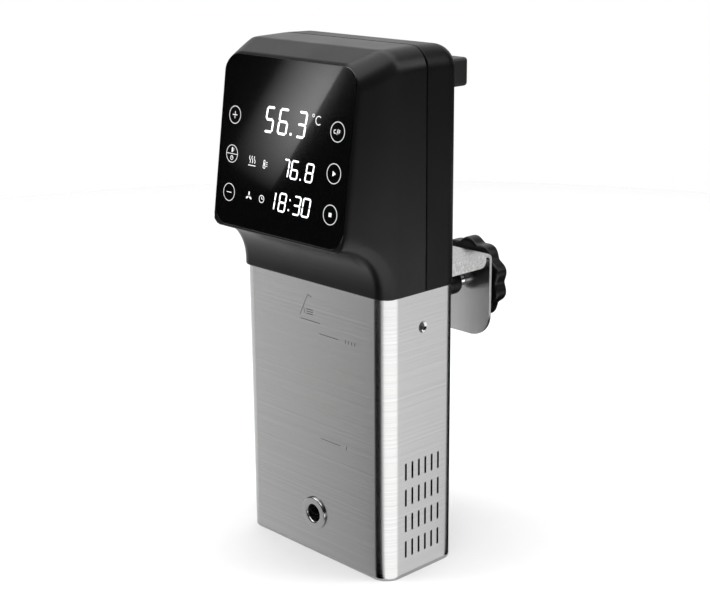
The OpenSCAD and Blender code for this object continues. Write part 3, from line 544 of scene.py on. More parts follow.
def rounded_rect(width: float, height: float, radius: float, steps: int = 12) -> list[Point2]:
    """Give a rectangle with round corners, centred, anticlockwise.

    Args:
        width: Its width.
        height: Its height.
        radius: Radius of its corners.
        steps: Pieces in each corner.

    Returns:
        Its points.
    """
    x, y = width / 2 - radius, height / 2 - radius
    corners = ((x, y, 0), (-x, y, 90), (-x, -y, 180), (x, -y, 270))
    return [p for cx, cy, a in corners for p in arc((cx, cy), radius, a, a + 90, steps)]


def link_new(name: str, data: bpy.types.ID) -> bpy.types.Object:
    """Make an object of some data and put it in the scene.

    Args:
        name: The object's name.
        data: Its mesh, camera or light.

    Returns:
        The object.
    """
    made = bpy.data.objects.new(name, data)
    bpy.context.scene.collection.objects.link(made)
    return made


def mesh_object(name: str, mesh: bmesh.types.BMesh,
                material: bpy.types.Material | None = None) -> bpy.types.Object:
    """Turn a bmesh into an object in the scene, and free the bmesh.

    Args:
        name: The object's name.
        mesh: The bmesh.
        material: The object's material, if it has one.

    Returns:
        The object.
    """
    data = bpy.data.meshes.new(name)
    mesh.to_mesh(data)
    mesh.free()
    if material:
        data.materials.append(material)
    return link_new(name, data)


def turn_about(axis: str, degrees: float) -> Matrix:
    """Give a turn about the X, Y or Z axis."""
    return Matrix.Rotation(math.radians(degrees), 4, axis)


def smooth(data: bpy.types.Mesh, angle: float) -> None:
    """Shade a mesh smooth, but for edges sharper than an angle in degrees."""
    data.polygons.foreach_set("use_smooth", [True] * len(data.polygons))
    data.set_sharp_from_angle(angle=math.radians(angle))


class Piece:
    """One visible mesh of the object, given in millimetres."""

    def __init__(self, name: str, finish: str, body: str, slot: str | None = None) -> None:
        """Name the piece and say how it is dressed and what it rides on.

        Args:
            name: The piece's name.
            finish: The name of its finish.
            body: The CAD body that it rides on.
            slot: The record's material slot, where it isn't the finish's own name. It is stored but
                not used.
        """
        self.name = name
        self.finish = finish
        self.body = body
        self.slot = slot or finish
        self.mesh = bmesh.new()

    def add(self, points: Iterable[Sequence[float]],
            faces: Iterable[Sequence[int]]) -> None:
        """Add corner points and faces.

        Args:
            points: The points in millimetres.
            faces: Lists of point numbers.
        """
        made = [self.mesh.verts.new(Vector(p) * MM) for p in points]
        for face in faces:
            self.mesh.faces.new([made[i] for i in face])

    def loft(self, rings: Sequence[Sequence[Point3]], closed: bool = False) -> None:
        """Skin a row of closed rings, and cap both ends unless it closes on itself.

        Args:
            rings: Rings that all have the same number of points.
            closed: True where the last ring joins the first.
        """
        count = len(rings[0])
        points = [p for ring in rings for p in ring]
        rows = len(rings) if closed else len(rings) - 1
        faces: list[list[int]] = []
        for row in range(rows):
            a, b = row * count, (row + 1) % len(rings) * count
            faces += [[a + i, a + (i + 1) % count, b + (i + 1) % count, b + i]
                      for i in range(count)]
        if not closed:
            faces += [list(range(count))[::-1],
                      list(range((len(rings) - 1) * count, len(rings) * count))]
        self.add(points, faces)

    def turned(self, outline: Sequence[Point2], place: Matrix, steps: int = 64) -> None:
        """Turn a closed outline of (radius, height) about an axis.

        Args:
            outline: The outline's points, all off the axis.
            place: Takes the turned shape, whose axis is Z, to its place in millimetres.
            steps: Pieces in a full turn.
        """
        rings = []
        for i in range(steps):
            t = math.tau * i / steps
            rings.append([place @ Vector((r * math.cos(t), r * math.sin(t), h))
                          for r, h in outline])
        self.loft(rings, closed=True)

    def prism(self, outline: Sequence[Point2], place: Matrix, low: float, high: float) -> None:
        """Raise a flat outline into a solid.

        Args:
            outline: The outline in the XY plane of place.
            place: Takes the solid to its place in millimetres.
            low: Where it starts along place's Z.
            high: Where it ends.
        """
        self.loft([[place @ Vector((x, y, z)) for x, y in outline] for z in (low, high)])

    def finish_up(self, bevel: float = 0.0, steps: int = 2, angle: float = 40.0,
                  replaces: Sequence[str] = (), weighted: bool = True) -> bpy.types.Object:
        """Turn the mesh into an object that rides on its body.

        Args:
            bevel: Width of the edges' rounding in millimetres, or 0 for none.
            steps: Pieces across each rounded edge.
            angle: Edges sharper than this many degrees are rounded and stay crisp.
            replaces: CAD nodes that the piece stands for.
            weighted: True where the large faces set the shading.

        Returns:
            The object.
        """
        bmesh.ops.remove_doubles(self.mesh, verts=self.mesh.verts, dist=1e-7)
        bmesh.ops.recalc_face_normals(self.mesh, faces=self.mesh.faces)
        made = mesh_object(self.name, self.mesh, Paints.get(self.finish))
        smooth(made.data, angle)
        soften(made, bevel, steps, angle, weighted)
        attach(made, self.body)
        if replaces:
            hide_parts(*replaces)
        LOG.info("%s: %d faces on %s", self.name, len(made.data.polygons), self.body)
        return made


def soften(made: bpy.types.Object, bevel: float, steps: int, angle: float,
           weighted: bool) -> None:
    """Round an object's sharp edges and weight its shading.

    Args:
        made: The object.
        bevel: Width of the rounding in millimetres, or 0 for none.
        steps: Pieces across each rounded edge.
        angle: Edges sharper than this many degrees are rounded.
        weighted: True where the large faces set the shading.
    """
    if bevel > 0:
        rounding = made.modifiers.new("rounding", "BEVEL")
        rounding.width = bevel * MM
        rounding.segments = steps
        rounding.limit_method = "ANGLE"
        rounding.angle_limit = math.radians(angle)
        rounding.use_clamp_overlap = True
        rounding.harden_normals = False
    if weighted:
        shade = made.modifiers.new("shading", "WEIGHTED_NORMAL")
        shade.keep_sharp = bevel <= 0


CUT_CREASE = 35.0


def cut(target: bpy.types.Object, cutter: Piece) -> None:
    """Cut a shape out of an object for good.

    Args:
        target: The object that is cut. Its own modifiers stay as they are.
        cutter: The shape that is taken away.
    """
    bmesh.ops.recalc_face_normals(cutter.mesh, faces=cutter.mesh.faces)
    tool = mesh_object("cutter", cutter.mesh)
    bare = link_new("bare", target.data)
    difference = bare.modifiers.new("cut", "BOOLEAN")
    difference.operation = "DIFFERENCE"
    difference.solver = "EXACT"
    difference.object = tool
    bpy.context.view_layer.update()
    graph = bpy.context.evaluated_depsgraph_get()
    spent = (target.data, tool.data)
    target.data = bpy.data.meshes.new_from_object(bare.evaluated_get(graph))
    smooth(target.data, CUT_CREASE)
    for helper in (tool, bare):
        bpy.data.objects.remove(helper)
    for data in spent:
        bpy.data.meshes.remove(data)


def along_y(x: float, z: float) -> Matrix:
    """Give the place of a shape whose axis points along +Y through (x, 0, z)."""
    return Matrix.Translation((x, 0, z)) @ turn_about("X", -90)


Distance = Callable[[np.ndarray, np.ndarray, np.ndarray], np.ndarray]


def round_meet(a: np.ndarray, b: np.ndarray, radius: float) -> np.ndarray:
    """Keep what is inside both of two distance fields, with a round edge between them.

    Args:
        a: The first field.
        b: The second field.
        radius: Radius of the edge.

    Returns:
        The joined field.
    """
    corner = np.hypot(np.maximum(a + radius, 0), np.maximum(b + radius, 0))
    return np.minimum(-radius, np.maximum(a, b)) + corner


def round_corner(a: np.ndarray, b: np.ndarray, c: np.ndarray, radius: float) -> np.ndarray:
    """Join three distances as a solid whose common corner is part of a ball.

    Args:
        a: The first distance.
        b: The second distance.
        c: The third distance.
        radius: The ball's radius.

    Returns:
        The joined distance.
    """
    inward = np.stack([a, b, c]) + radius
    outside = np.sqrt((np.maximum(inward, 0) ** 2).sum(axis=0))
    return outside + np.minimum(inward.max(axis=0), 0) - radius


class Skin:
    """Lays a mesh of quads on the surface of a distance field."""

    PROBE = 0.04
    ROUNDS = 7
    FLATTEST = 0.05
    LONGEST_MOVE = 0.6

    def __init__(self, field: Distance, xs: np.ndarray, ys: np.ndarray, zs: np.ndarray) -> None:
        """Sample the field.

        Args:
            field: Distance in millimetres, below zero inside.
            xs: Grid lines along X.
            ys: Grid lines along Y.
            zs: Grid lines along Z.
        """
        self.field = field
        self.lines = (xs, ys, zs)
        self.value = field(*np.meshgrid(xs, ys, zs, indexing="ij"))

    def build(self) -> tuple[np.ndarray, np.ndarray]:
        """Find one point in each cell that the surface passes, and join them.

        Returns:
            The points and the quads.
        """
        grid = np.stack(np.meshgrid(*self.lines, indexing="ij"), -1)
        cells = tuple(n - 1 for n in self.value.shape)
        total = np.zeros((*cells, 3))
        count = np.zeros(cells)
        edges = []
        for axis in range(3):
            low = [slice(None)] * 3
            high = [slice(None)] * 3
            low[axis], high[axis] = slice(0, -1), slice(1, None)
            a, b = self.value[tuple(low)], self.value[tuple(high)]
            crossed = (a < 0) != (b < 0)
            share = np.where(crossed, a / np.where(crossed, a - b, 1), 0)[..., None]
            point = grid[tuple(low)] * (1 - share) + grid[tuple(high)] * share
            point = np.where(crossed[..., None], point, 0)
            others = [i for i in range(3) if i != axis]
            for step in ((0, 0), (0, 1), (1, 0), (1, 1)):
                part = [slice(None)] * 3
                for other, s in zip(others, step):
                    part[other] = slice(s, s + cells[other])
                total += point[tuple(part)]
                count += crossed[tuple(part)]
            edges.append((axis, others, crossed, a < 0))
        used = count > 0
        number = np.full(cells, -1)
        number[used] = np.arange(used.sum())
        points = self.settle(total[used] / count[used][:, None])
        return points, self.quads(edges, number, cells)

    @staticmethod
    def quads(edges: list, number: np.ndarray, cells: tuple[int, ...]) -> np.ndarray:
        """Join the four points round each grid edge that the surface crosses.

        Args:
            edges: Axis, other axes, crossings and insides of each direction.
            number: Point number of each cell, or -1.
            cells: The cells' count along each axis.

        Returns:
            The quads, outward.
        """
        found = []
        for axis, (first, second), crossed, inside in edges:
            at = np.argwhere(crossed)
            keep = np.ones(len(at), bool)
            for other in (first, second):
                keep &= (at[:, other] > 0) & (at[:, other] < cells[other])
            at = at[keep]
            ring = []
            for d1, d2 in ((-1, -1), (0, -1), (0, 0), (-1, 0)):
                near = at.copy()
                near[:, first] += d1
                near[:, second] += d2
                ring.append(number[tuple(near.T)])
            quad = np.stack(ring, -1)
            flip = inside[tuple(at.T)] == (axis == 1)
            quad[flip] = quad[flip][:, ::-1]
            found.append(quad)
        return np.concatenate(found)

    def settle(self, points: np.ndarray) -> np.ndarray:
        """Move points along the field's slope until they lie on its surface.

        Args:
            points: The points near the surface.

        Returns:
            The points on it.
        """
        step = self.PROBE
        for _ in range(self.ROUNDS):
            x, y, z = points.T
            value = self.field(x, y, z)
            slope = np.stack([
                self.field(x + step, y, z) - self.field(x - step, y, z),
                self.field(x, y + step, z) - self.field(x, y - step, z),
                self.field(x, y, z + step) - self.field(x, y, z - step)], -1) / (2 * step)
            size = np.maximum((slope ** 2).sum(-1), self.FLATTEST)
            move = np.clip(value / size, -self.LONGEST_MOVE, self.LONGEST_MOVE)
            points = points - slope * move[:, None]
        return points


def spaced(*runs: tuple[float, float, float]) -> np.ndarray:
    """Give grid lines whose spacing changes from run to run.

    Args:
        *runs: Start, end and spacing of each run.

    Returns:
        The lines.
    """
    found: list[float] = []
    for start, end, gap in runs:
        count = max(1, round((end - start) / gap))
        found += [start + (end - start) * i / count for i in range(count)]
    return np.array(found + [runs[-1][1]])


# ---------------------------------------------------------------- the head


@dataclass
class Head:
    """The black plastic head: a front housing, a rear cover and their seam."""

    half_width: float = 73.4
    lean: float = 8.15
    panel_y: float = -57.0
    panel_z: float = 293.5
    neck_y: float = -35.8
    floor_z: float = 200.0
    top_z: float = 359.9
    rear_y: float = 36.0
    seam_y: float = 2.0
    seam_gap: float = 0.7
    scoop_radius: float = 31.0
    cheek: float = 7.9
    cheek_y: float = -22.7
    cheek_power: float = 1.4
    chin_z: float = 234.9
    wall: float = 2.6
    front_wall: float = 8.0
    crown: Point2 = (10.5, 16.0)
    scoop_rise: float = 3.9
    panel_side_edge: float = 2.4
    chin_edge: float = 1.5
    brow_edge: float = 2.2
    scoop_side_edge: float = 9.0
    rear_side_edge: float = 13.0
    rear_corner: float = 15.0
    least_edge: float = 0.5
    glass_thick: float = 3.0
    glass_corner: float = 12.0
    pocket_gap: float = 0.15
    pocket_depth: float = 3.6
    inlet_flange: Point2 = (7.6, 5.6)

    def ridge(self) -> list[Point2]:
        """Give the top's outline from brow to back, seen from the side."""
        return [(-46.2, 352.0), (-27.5, self.top_z - 0.8), (self.seam_y, self.top_z),
                (25.5, self.top_z - 0.7)]

    def panel(self, u: float, v: float, out: float = 0.0) -> Vector:
        """Give a point on the leaning panel.

        Args:
            u: Distance to the right of the panel's centre.
            v: Distance up the panel from its centre.
            out: Distance in front of it.

        Returns:
            The point in millimetres.
        """
        slope, rise = math.sin(math.radians(self.lean)), math.cos(math.radians(self.lean))
        return Vector((u, self.panel_y + v * slope - out * rise,
                       self.panel_z + v * rise + out * slope))

    def panel_matrix(self) -> Matrix:
        """Give the panel's own axes: X right, Y up the panel, Z out of it."""
        origin = self.panel(0, 0)
        right, up = Vector((1, 0, 0)), self.panel(0, 1) - origin
        out = self.panel(0, 0, 1) - origin
        return Matrix.Translation(origin) @ Matrix((right, up, out)).transposed().to_4x4()

    def shape(self, x: np.ndarray, y: np.ndarray, z: np.ndarray, inset: float,
              front_inset: float) -> np.ndarray:
        """Give the distance to the whole head, without its floor.

        Args:
            x: Places along X.
            y: Places along Y.
            z: Places along Z.
            inset: How far every face is moved in.
            front_inset: How far the panel is moved in.

        Returns:
            The distance, below zero inside.
        """
        slope, rise = math.sin(math.radians(self.lean)), math.cos(math.radians(self.lean))
        panel = (self.panel_y - y) * rise + (z - self.panel_z) * slope + front_inset
        panel_line = self.panel_y + (np.maximum(z, self.chin_z) - self.panel_z) * slope / rise
        depth = self.cheek_y - panel_line
        share = np.clip((self.cheek_y - y) / depth, 0, 1.3)
        steep = self.cheek * self.cheek_power * share ** (self.cheek_power - 1) / depth
        side = ((np.abs(x) - self.half_width + self.cheek * share ** self.cheek_power)
                / np.sqrt(1 + steep ** 2) + inset)
        around = np.hypot(y - self.neck_y + self.scoop_radius,
                          z - self.floor_z - self.scoop_rise)
        scoop = np.where(z < self.floor_z + self.scoop_rise, self.neck_y - y,
                         self.scoop_radius - around)
        scoop = scoop + inset
        rear = y - self.rear_y + inset
        ridge = self.ridge()
        top = np.maximum.reduce([self.facet(y, z, start, end)
                                 for start, end in zip(ridge, ridge[1:])]) + inset

        def meet(a: np.ndarray, b: np.ndarray, radius: float) -> np.ndarray:
            return round_meet(a, b, max(radius - inset, self.least_edge))

        high, wide = self.crown[0] - inset, self.crown[1] - inset
        return np.maximum.reduce([
            meet(panel, side, self.panel_side_edge), meet(panel, scoop, self.chin_edge),
            meet(panel, top, self.brow_edge), meet(scoop, side, self.scoop_side_edge),
            meet(rear, side, self.rear_side_edge),
            round_corner(rear, top, side, max(self.rear_corner - inset, self.least_edge)),
            high * round_meet(top / high, side / wide, 1.0)])

    @staticmethod
    def facet(y: np.ndarray, z: np.ndarray, start: Point2, end: Point2) -> np.ndarray:
        """Give the height above a sloping face that runs across the head."""
        slope = (end[1] - start[1]) / (end[0] - start[0])
        return (z - start[1] - slope * (y - start[0])) / math.hypot(1, slope)

    def shell(self, front: bool) -> Distance:
        """Give the distance field of one half of the head's shell.

        Args:
            front: True for the front housing, False for the rear cover.

        Returns:
            The field.
        """
        def field(x: np.ndarray, y: np.ndarray, z: np.ndarray) -> np.ndarray:
            outer = self.shape(x, y, z, 0, 0)
            floor = self.floor_z - z
            gap = self.seam_gap / 2
            seam = y - self.seam_y + gap if front else self.seam_y + gap - y
            solid = round_meet(round_meet(outer, floor, 0.7), seam, 0.85)
            hollow = self.shape(x, y, z, self.wall, self.front_wall)
            return np.maximum(solid, -hollow)
        return field

    def build_half(self, front: bool) -> Piece:
        """Build one half of the shell.

        Args:
            front: True for the front housing, False for the rear cover.

        Returns:
            The piece, not yet finished.
        """
        half = spaced((0, 42, 7), (42, 60, 2.0), (60, 75.2, 0.95))
        xs = np.concatenate([-half[:0:-1], half])
        seam = self.seam_y
        if front:
            ys = spaced((-68, -33, 1.15), (-33, -20, 2.2), (-20, -1.5, 5.0),
                        (-1.5, seam - 1.6, 0.9), (seam - 1.6, seam + 0.4, 0.3))
        else:
            ys = spaced((seam - 0.4, seam + 1.6, 0.3), (seam + 1.6, 6, 1.0), (6, 21, 5.0),
                        (21, 37.5, 1.15))
        zs = spaced((198.8, 202.2, 0.4), (202.2, 240, 1.2), (240, 334, 5.0), (334, 361.5, 1.0))
        points, quads = Skin(self.shell(front), xs, ys, zs).build()
        name = "front_shell" if front else "rear_shell"
        piece = Piece(name, "head_black" if front else "cover_black", "body")
        piece.add(points.tolist(), quads.tolist())
        return piece

    def glass_outline(self, grow: float = 0.0) -> list[Point2]:
        """Give the glass's outline on the panel."""
        low, high = box_mm("control_glass")
        rise = math.cos(math.radians(self.lean))
        thick = math.sin(math.radians(self.lean)) * self.glass_thick
        height = (high.z - low.z - thick) / rise
        return rounded_rect(high.x - low.x + 2 * grow, height + 2 * grow,
                            self.glass_corner + grow, 14)

    def build(self) -> None:
        """Build and dress both halves, with the pocket for the glass."""
        front = self.build_half(True).finish_up(angle=50, replaces=["front_housing"])
        pocket = Piece("pocket", "head_black", "body")
        pocket.prism(self.glass_outline(self.pocket_gap), self.panel_matrix(),
                     -self.pocket_depth, 6)
        cut(front, pocket)
        rear = self.build_half(False).finish_up(angle=50, replaces=["rear_cover"])
        holes = Piece("holes", "cover_black", "body")
        low, high = box_mm("power_inlet")
        opening = rounded_rect(high.x - low.x - self.inlet_flange[0],
                               high.z - low.z - self.inlet_flange[1], 2.5, 6)
        centre = (low + high) / 2
        holes.prism(opening, along_y(centre.x, centre.z), 30, 40)
        cut(rear, holes)


# ---------------------------------------------------------------- the touch panel


SEGMENTS: dict[str, str] = {
    "0": "abcdef", "1": "bc", "3": "abgcd", "5": "afgcd", "6": "afgcde", "7": "abc",
    "8": "abcdefg",
}


class Symbol(Enum):
    """The pictures in the touch keys' rings and beside the rows of digits."""

    PLUS = "plus"
    MINUS = "minus"
    CLOCK_SPLIT = "clock_split"
    UNIT = "unit"
    START = "start"
    STOP = "stop"
    HEAT = "heat"
    FAN = "fan"
    THERMOMETER = "thermometer"
    CLOCK = "clock"


@dataclass(frozen=True)
class DigitRow:
    """One row of seven-segment digits."""

    name: str
    text: str
    starts: tuple[float, ...]
    widths: tuple[float, ...]
    base: float
    height: float
    stroke: float
    points: tuple[Point2, ...]


@dataclass
class TouchPanel:
    """The glass and what glows through it."""

    head: Head
    sink: float = 0.10
    proud: float = 0.05
    slant: float = 7.0
    ring_radii: tuple[float, float] = (5.8, 6.25)
    ring_line: float = 0.5
    key_columns: tuple[float, float] = (-50.2, 50.3)
    key_rows: tuple[float, float, float] = (16.7, -9.4, -35.4)

    def rows(self) -> list[DigitRow]:
        """Give the three rows of digits."""
        return [
            DigitRow("digits_temperature_now", "563", (-20.0, -7.0, 11.2), (8.8, 9.6, 8.8), 8.6,
                     17.5, 1.6, ((6.8, 10.2),)),
            DigitRow("digits_temperature_set", "768", (1.7, 9.1, 23.4), (5.8, 7.3, 7.4),
                     -18.4, 12.6, 1.15, ((19.6, -17.4),)),
            DigitRow("digits_time_set", "1830", (-5.2, 0.1, 14.2, 22.9), (2.0, 7.2, 7.2, 7.6),
                     -40.9, 12.8, 1.15, ((11.8, -31.8), (10.9, -38.4))),
        ]

    def plate(self, piece: Piece, outline: Sequence[Point2]) -> None:
        """Lay a flat shape into the glass's face.

        Args:
            piece: The piece that the shape joins.
            outline: The shape's outline on the panel.
        """
        piece.prism(outline, self.head.panel_matrix(), -self.sink, self.proud)

    def line(self, piece: Piece, points: Sequence[Point2], width: float,
             closed: bool = False) -> None:
        """Lay a line of even width into the glass's face.

        Args:
            piece: The piece that the line joins.
            points: The points along its middle.
            width: Its width.
            closed: True where its end meets its start.
        """
        middle = [Vector(p) for p in points]
        count = len(middle)
        left, right = [], []
        for i, here in enumerate(middle):
            before = middle[i - 1] if closed or i else here
            after = middle[(i + 1) % count] if closed or i < count - 1 else here
            along = (after - before).normalized()
            side = Vector((-along.y, along.x)) * width / 2
            left.append(tuple(here + side))
            right.append(tuple(here - side))
        place = self.head.panel_matrix()
        spots = [[place @ Vector((*p, level)) for p in (a, b) for level in (-self.sink, self.proud)]
                 for a, b in zip(left, right)]
        rings = [[s[0], s[1], s[3], s[2]] for s in spots]
        piece.loft(rings, closed=closed)

    def bar(self, piece: Piece, start: Vector, end: Vector, width: float) -> None:
        """Lay one pointed bar of a digit."""
        along = (end - start).normalized()
        side = Vector((-along.y, along.x)) * width / 2
        tip = along * width / 2
        gap = along * width * 0.12
        start, end = start + gap, end - gap
        self.plate(piece, [tuple(p) for p in (
            start, start + tip - side, end - tip - side, end, end - tip + side,
            start + tip + side)])

    def digit(self, piece: Piece, row: DigitRow, index: int) -> None:
        """Lay one digit of a row.

        Args:
            piece: The row's piece.
            row: The row.
            index: Which of its digits.
        """
        lean = math.tan(math.radians(self.slant))
        half = row.stroke / 2
        width, height = row.widths[index], row.height

        def spot(x: float, y: float) -> Vector:
            x = half + x * (width - row.stroke)
            y = half + y * (height - row.stroke)
            return Vector((row.starts[index] + x + y * lean, row.base + y))

        ends = {"a": (0, 1, 1, 1), "b": (1, 0.5, 1, 1), "c": (1, 0, 1, 0.5), "d": (0, 0, 1, 0),
                "e": (0, 0, 0, 0.5), "f": (0, 0.5, 0, 1), "g": (0, 0.5, 1, 0.5)}
        for letter in SEGMENTS[row.text[index]]:
            x0, y0, x1, y1 = ends[letter]
            self.bar(piece, spot(x0, y0), spot(x1, y1), row.stroke)

    def build_digits(self) -> None:
        """Build the rows of digits, their points and the degree sign."""
        for row in self.rows():
            piece = Piece(row.name, "display_white", "body")
            for index in range(len(row.text)):
                self.digit(piece, row, index)
            for u, v in row.points:
                dot = row.stroke * 1.05
                self.plate(piece, rounded_rect_at((u, v), dot, dot, 0.25))
            piece.finish_up(weighted=False)
        sign = Piece("degree_sign", "icon_white", "body", "display_white")
        self.line(sign, arc((27.0, 24.4), 0.9, 0, 340, 17), 0.45, closed=True)
        self.line(sign, arc((32.2, 21.7), 2.7, 50, 310, 20), 0.6)
        sign.finish_up(weighted=False)

    def picture(self, piece: Piece, symbol: Symbol, u: float, v: float, size: float) -> None:
        """Lay one of the small pictures.

        Args:
            piece: The piece that it joins.
            symbol: Which picture.
            u: Its centre's distance to the right.
            v: Its centre's distance up.
            size: Half its height.
        """
        thin = 0.11 * size + 0.22

        def at(x: float, y: float) -> Point2:
            return (u + x * size, v + y * size)

        def lines(*runs: Sequence[Point2]) -> None:
            for run in runs:
                self.line(piece, [at(*p) for p in run], thin)

        if symbol is Symbol.PLUS:
            lines([(-1, 0), (1, 0)], [(0, -1), (0, -0.2)], [(0, 0.2), (0, 1)])
        elif symbol is Symbol.MINUS:
            lines([(-1, 0), (1, 0)])
        elif symbol is Symbol.START:
            self.plate(piece, [at(-0.55, -0.85), at(0.95, 0), at(-0.55, 0.85)])
        elif symbol is Symbol.STOP:
            self.plate(piece, [at(-0.7, -0.7), at(0.7, -0.7), at(0.7, 0.7), at(-0.7, 0.7)])
        elif symbol is Symbol.UNIT:
            lines(arc((-0.75, 0), 0.55, 55, 305, 12), [(0.1, -0.9), (0.55, 0.9)],
                  [(1.0, -0.55), (1.0, 0.55)], [(1.05, 0.5), (1.6, 0.5)], [(1.05, 0), (1.5, 0)])
        elif symbol is Symbol.HEAT:
            for x in (-0.75, 0, 0.75):
                lines([(x + 0.2 * math.sin(t * math.tau / 8), -0.45 + 1.45 * t / 8)
                       for t in range(9)])
            lines([(-1.15, -0.95), (1.15, -0.95)])
        elif symbol is Symbol.FAN:
            for turn in (90, 210, 330):
                t = math.radians(turn)
                middle = at(0.55 * math.cos(t), 0.55 * math.sin(t))
                self.plate(piece, [
                    (middle[0] + size * (0.42 * math.cos(a) * math.cos(t)
                                         - 0.2 * math.sin(a) * math.sin(t)),
                     middle[1] + size * (0.42 * math.cos(a) * math.sin(t)
                                         + 0.2 * math.sin(a) * math.cos(t)))
                    for a in (math.tau * i / 14 for i in range(14))])
        elif symbol is Symbol.THERMOMETER:
            bulb = arc((0, -0.6), 0.42, 130, 410, 16)
            self.line(piece, [at(*p) for p in bulb + arc((0, 0.75), 0.26, 0, 180, 8)], thin,
                      closed=True)
            lines([(0, -0.6), (0, 0.45)])
            lines([(0.7, 0.6), (1.2, 0.6)], [(0.7, 0.1), (1.2, 0.1)], [(0.7, -0.4), (1.2, -0.4)])
        else:
            self.line(piece, [at(*p) for p in arc((0, 0), 0.95, 0, 345, 23)], thin, closed=True)
            lines([(0, 0), (0, 0.6)], [(0.08, 0), (0.5, 0)])

    def build_keys(self) -> None:
        """Build the six touch keys' rings and their pictures."""
        pictures = {
            (0, 0): [(Symbol.PLUS, 0, 0, 2.4)], (0, 2): [(Symbol.MINUS, 0, 0, 2.4)],
            (0, 1): [(Symbol.THERMOMETER, 0, 2.7, 1.5), (Symbol.CLOCK, 0, -2.7, 1.4)],
            (1, 0): [(Symbol.UNIT, -0.8, 0, 2.0)], (1, 1): [(Symbol.START, 0, 0, 2.0)],
            (1, 2): [(Symbol.STOP, 0, 0, 1.8)],
        }
        for (column, row), marks in pictures.items():
            u, v = self.key_columns[column], self.key_rows[row]
            radius = self.ring_radii[column]
            side = "left" if column == 0 else "right"
            ring = Piece(f"key_ring_{side}_{row + 1}", "ring_white", "body", "display_white")
            self.line(ring, arc((u, v), radius, 0, 354, 59), self.ring_line, closed=True)
            if (column, row) == (0, 1):
                self.line(ring, [(u - radius, v), (u + radius, v)], self.ring_line)
            ring.finish_up(weighted=False)
            mark = Piece(f"key_mark_{side}_{row + 1}", "icon_white", "body", "display_white")
            for symbol, x, y, size in marks:
                self.picture(mark, symbol, u + x, v + y, size)
            mark.finish_up(weighted=False)
        icons = Piece("row_icons", "icon_white", "body", "display_white")
        for symbol, u, v, size in ((Symbol.HEAT, -28.8, -11.6, 3.2),
                                   (Symbol.FAN, -29.3, -35.2, 3.4),
                                   (Symbol.THERMOMETER, -16.4, -12.2, 2.6),
                                   (Symbol.CLOCK, -16.3, -35.2, 2.5)):
            self.picture(icons, symbol, u, v, size)
        icons.finish_up(weighted=False)

    def build(self) -> None:
        """Build the glass and everything that shows on it."""
        glass = Piece("touch_glass", "panel_glass", "body")
        place = self.head.panel_matrix()
        outline = self.head.glass_outline()
        inner = self.head.glass_outline(-0.25)
        glass.loft([[place @ Vector((x, y, level)) for x, y in ring]
                    for ring, level in ((outline, -3.0), (outline, -0.25),
                                        (self.head.glass_outline(-0.07), -0.07),
                                        (inner, 0.0))])
        glass.finish_up(angle=50, replaces=["control_glass"])
        self.build_digits()
        self.build_keys()


def rounded_rect_at(centre: Point2, width: float, height: float, radius: float) -> list[Point2]:
    """Give a small rectangle with round corners about a centre."""
    return [(centre[0] + x, centre[1] + y) for x, y in rounded_rect(width, height, radius, 3)]


# ---------------------------------------------------------------- the carry handle


@dataclass
class CarryHandle:
    """The loop behind the head: a flat bar bent square at its two corners."""

    outer_corner: float = 4.5
    inner_corner: float = 3.0
    bar: float = 9.0
    soft: float = 2.2

    def build(self) -> None:
        """Build the loop as one flat shape with soft edges."""
        low, high = box_mm("carry_handle")
        half, back, start = high.x, high.y, low.y + 0.05
        outer, inner = self.outer_corner, self.inner_corner
        wide, deep = half - self.bar, back - self.bar
        outline = ([(half, start)] + arc((half - outer, back - outer), outer, 0, 90, 8)
                   + arc((outer - half, back - outer), outer, 90, 180, 8)
                   + [(-half, start), (-wide, start)]
                   + arc((inner - wide, deep - inner), inner, 180, 90, 6)
                   + arc((wide - inner, deep - inner), inner, 90, 0, 6) + [(wide, start)])
        piece = Piece("carry_loop", "handle_black", "body")
        piece.prism(outline, Matrix(), low.z, high.z)
        piece.finish_up(bevel=self.soft, steps=4, angle=50, replaces=["carry_handle"])


# ---------------------------------------------------------------- the steel sleeve


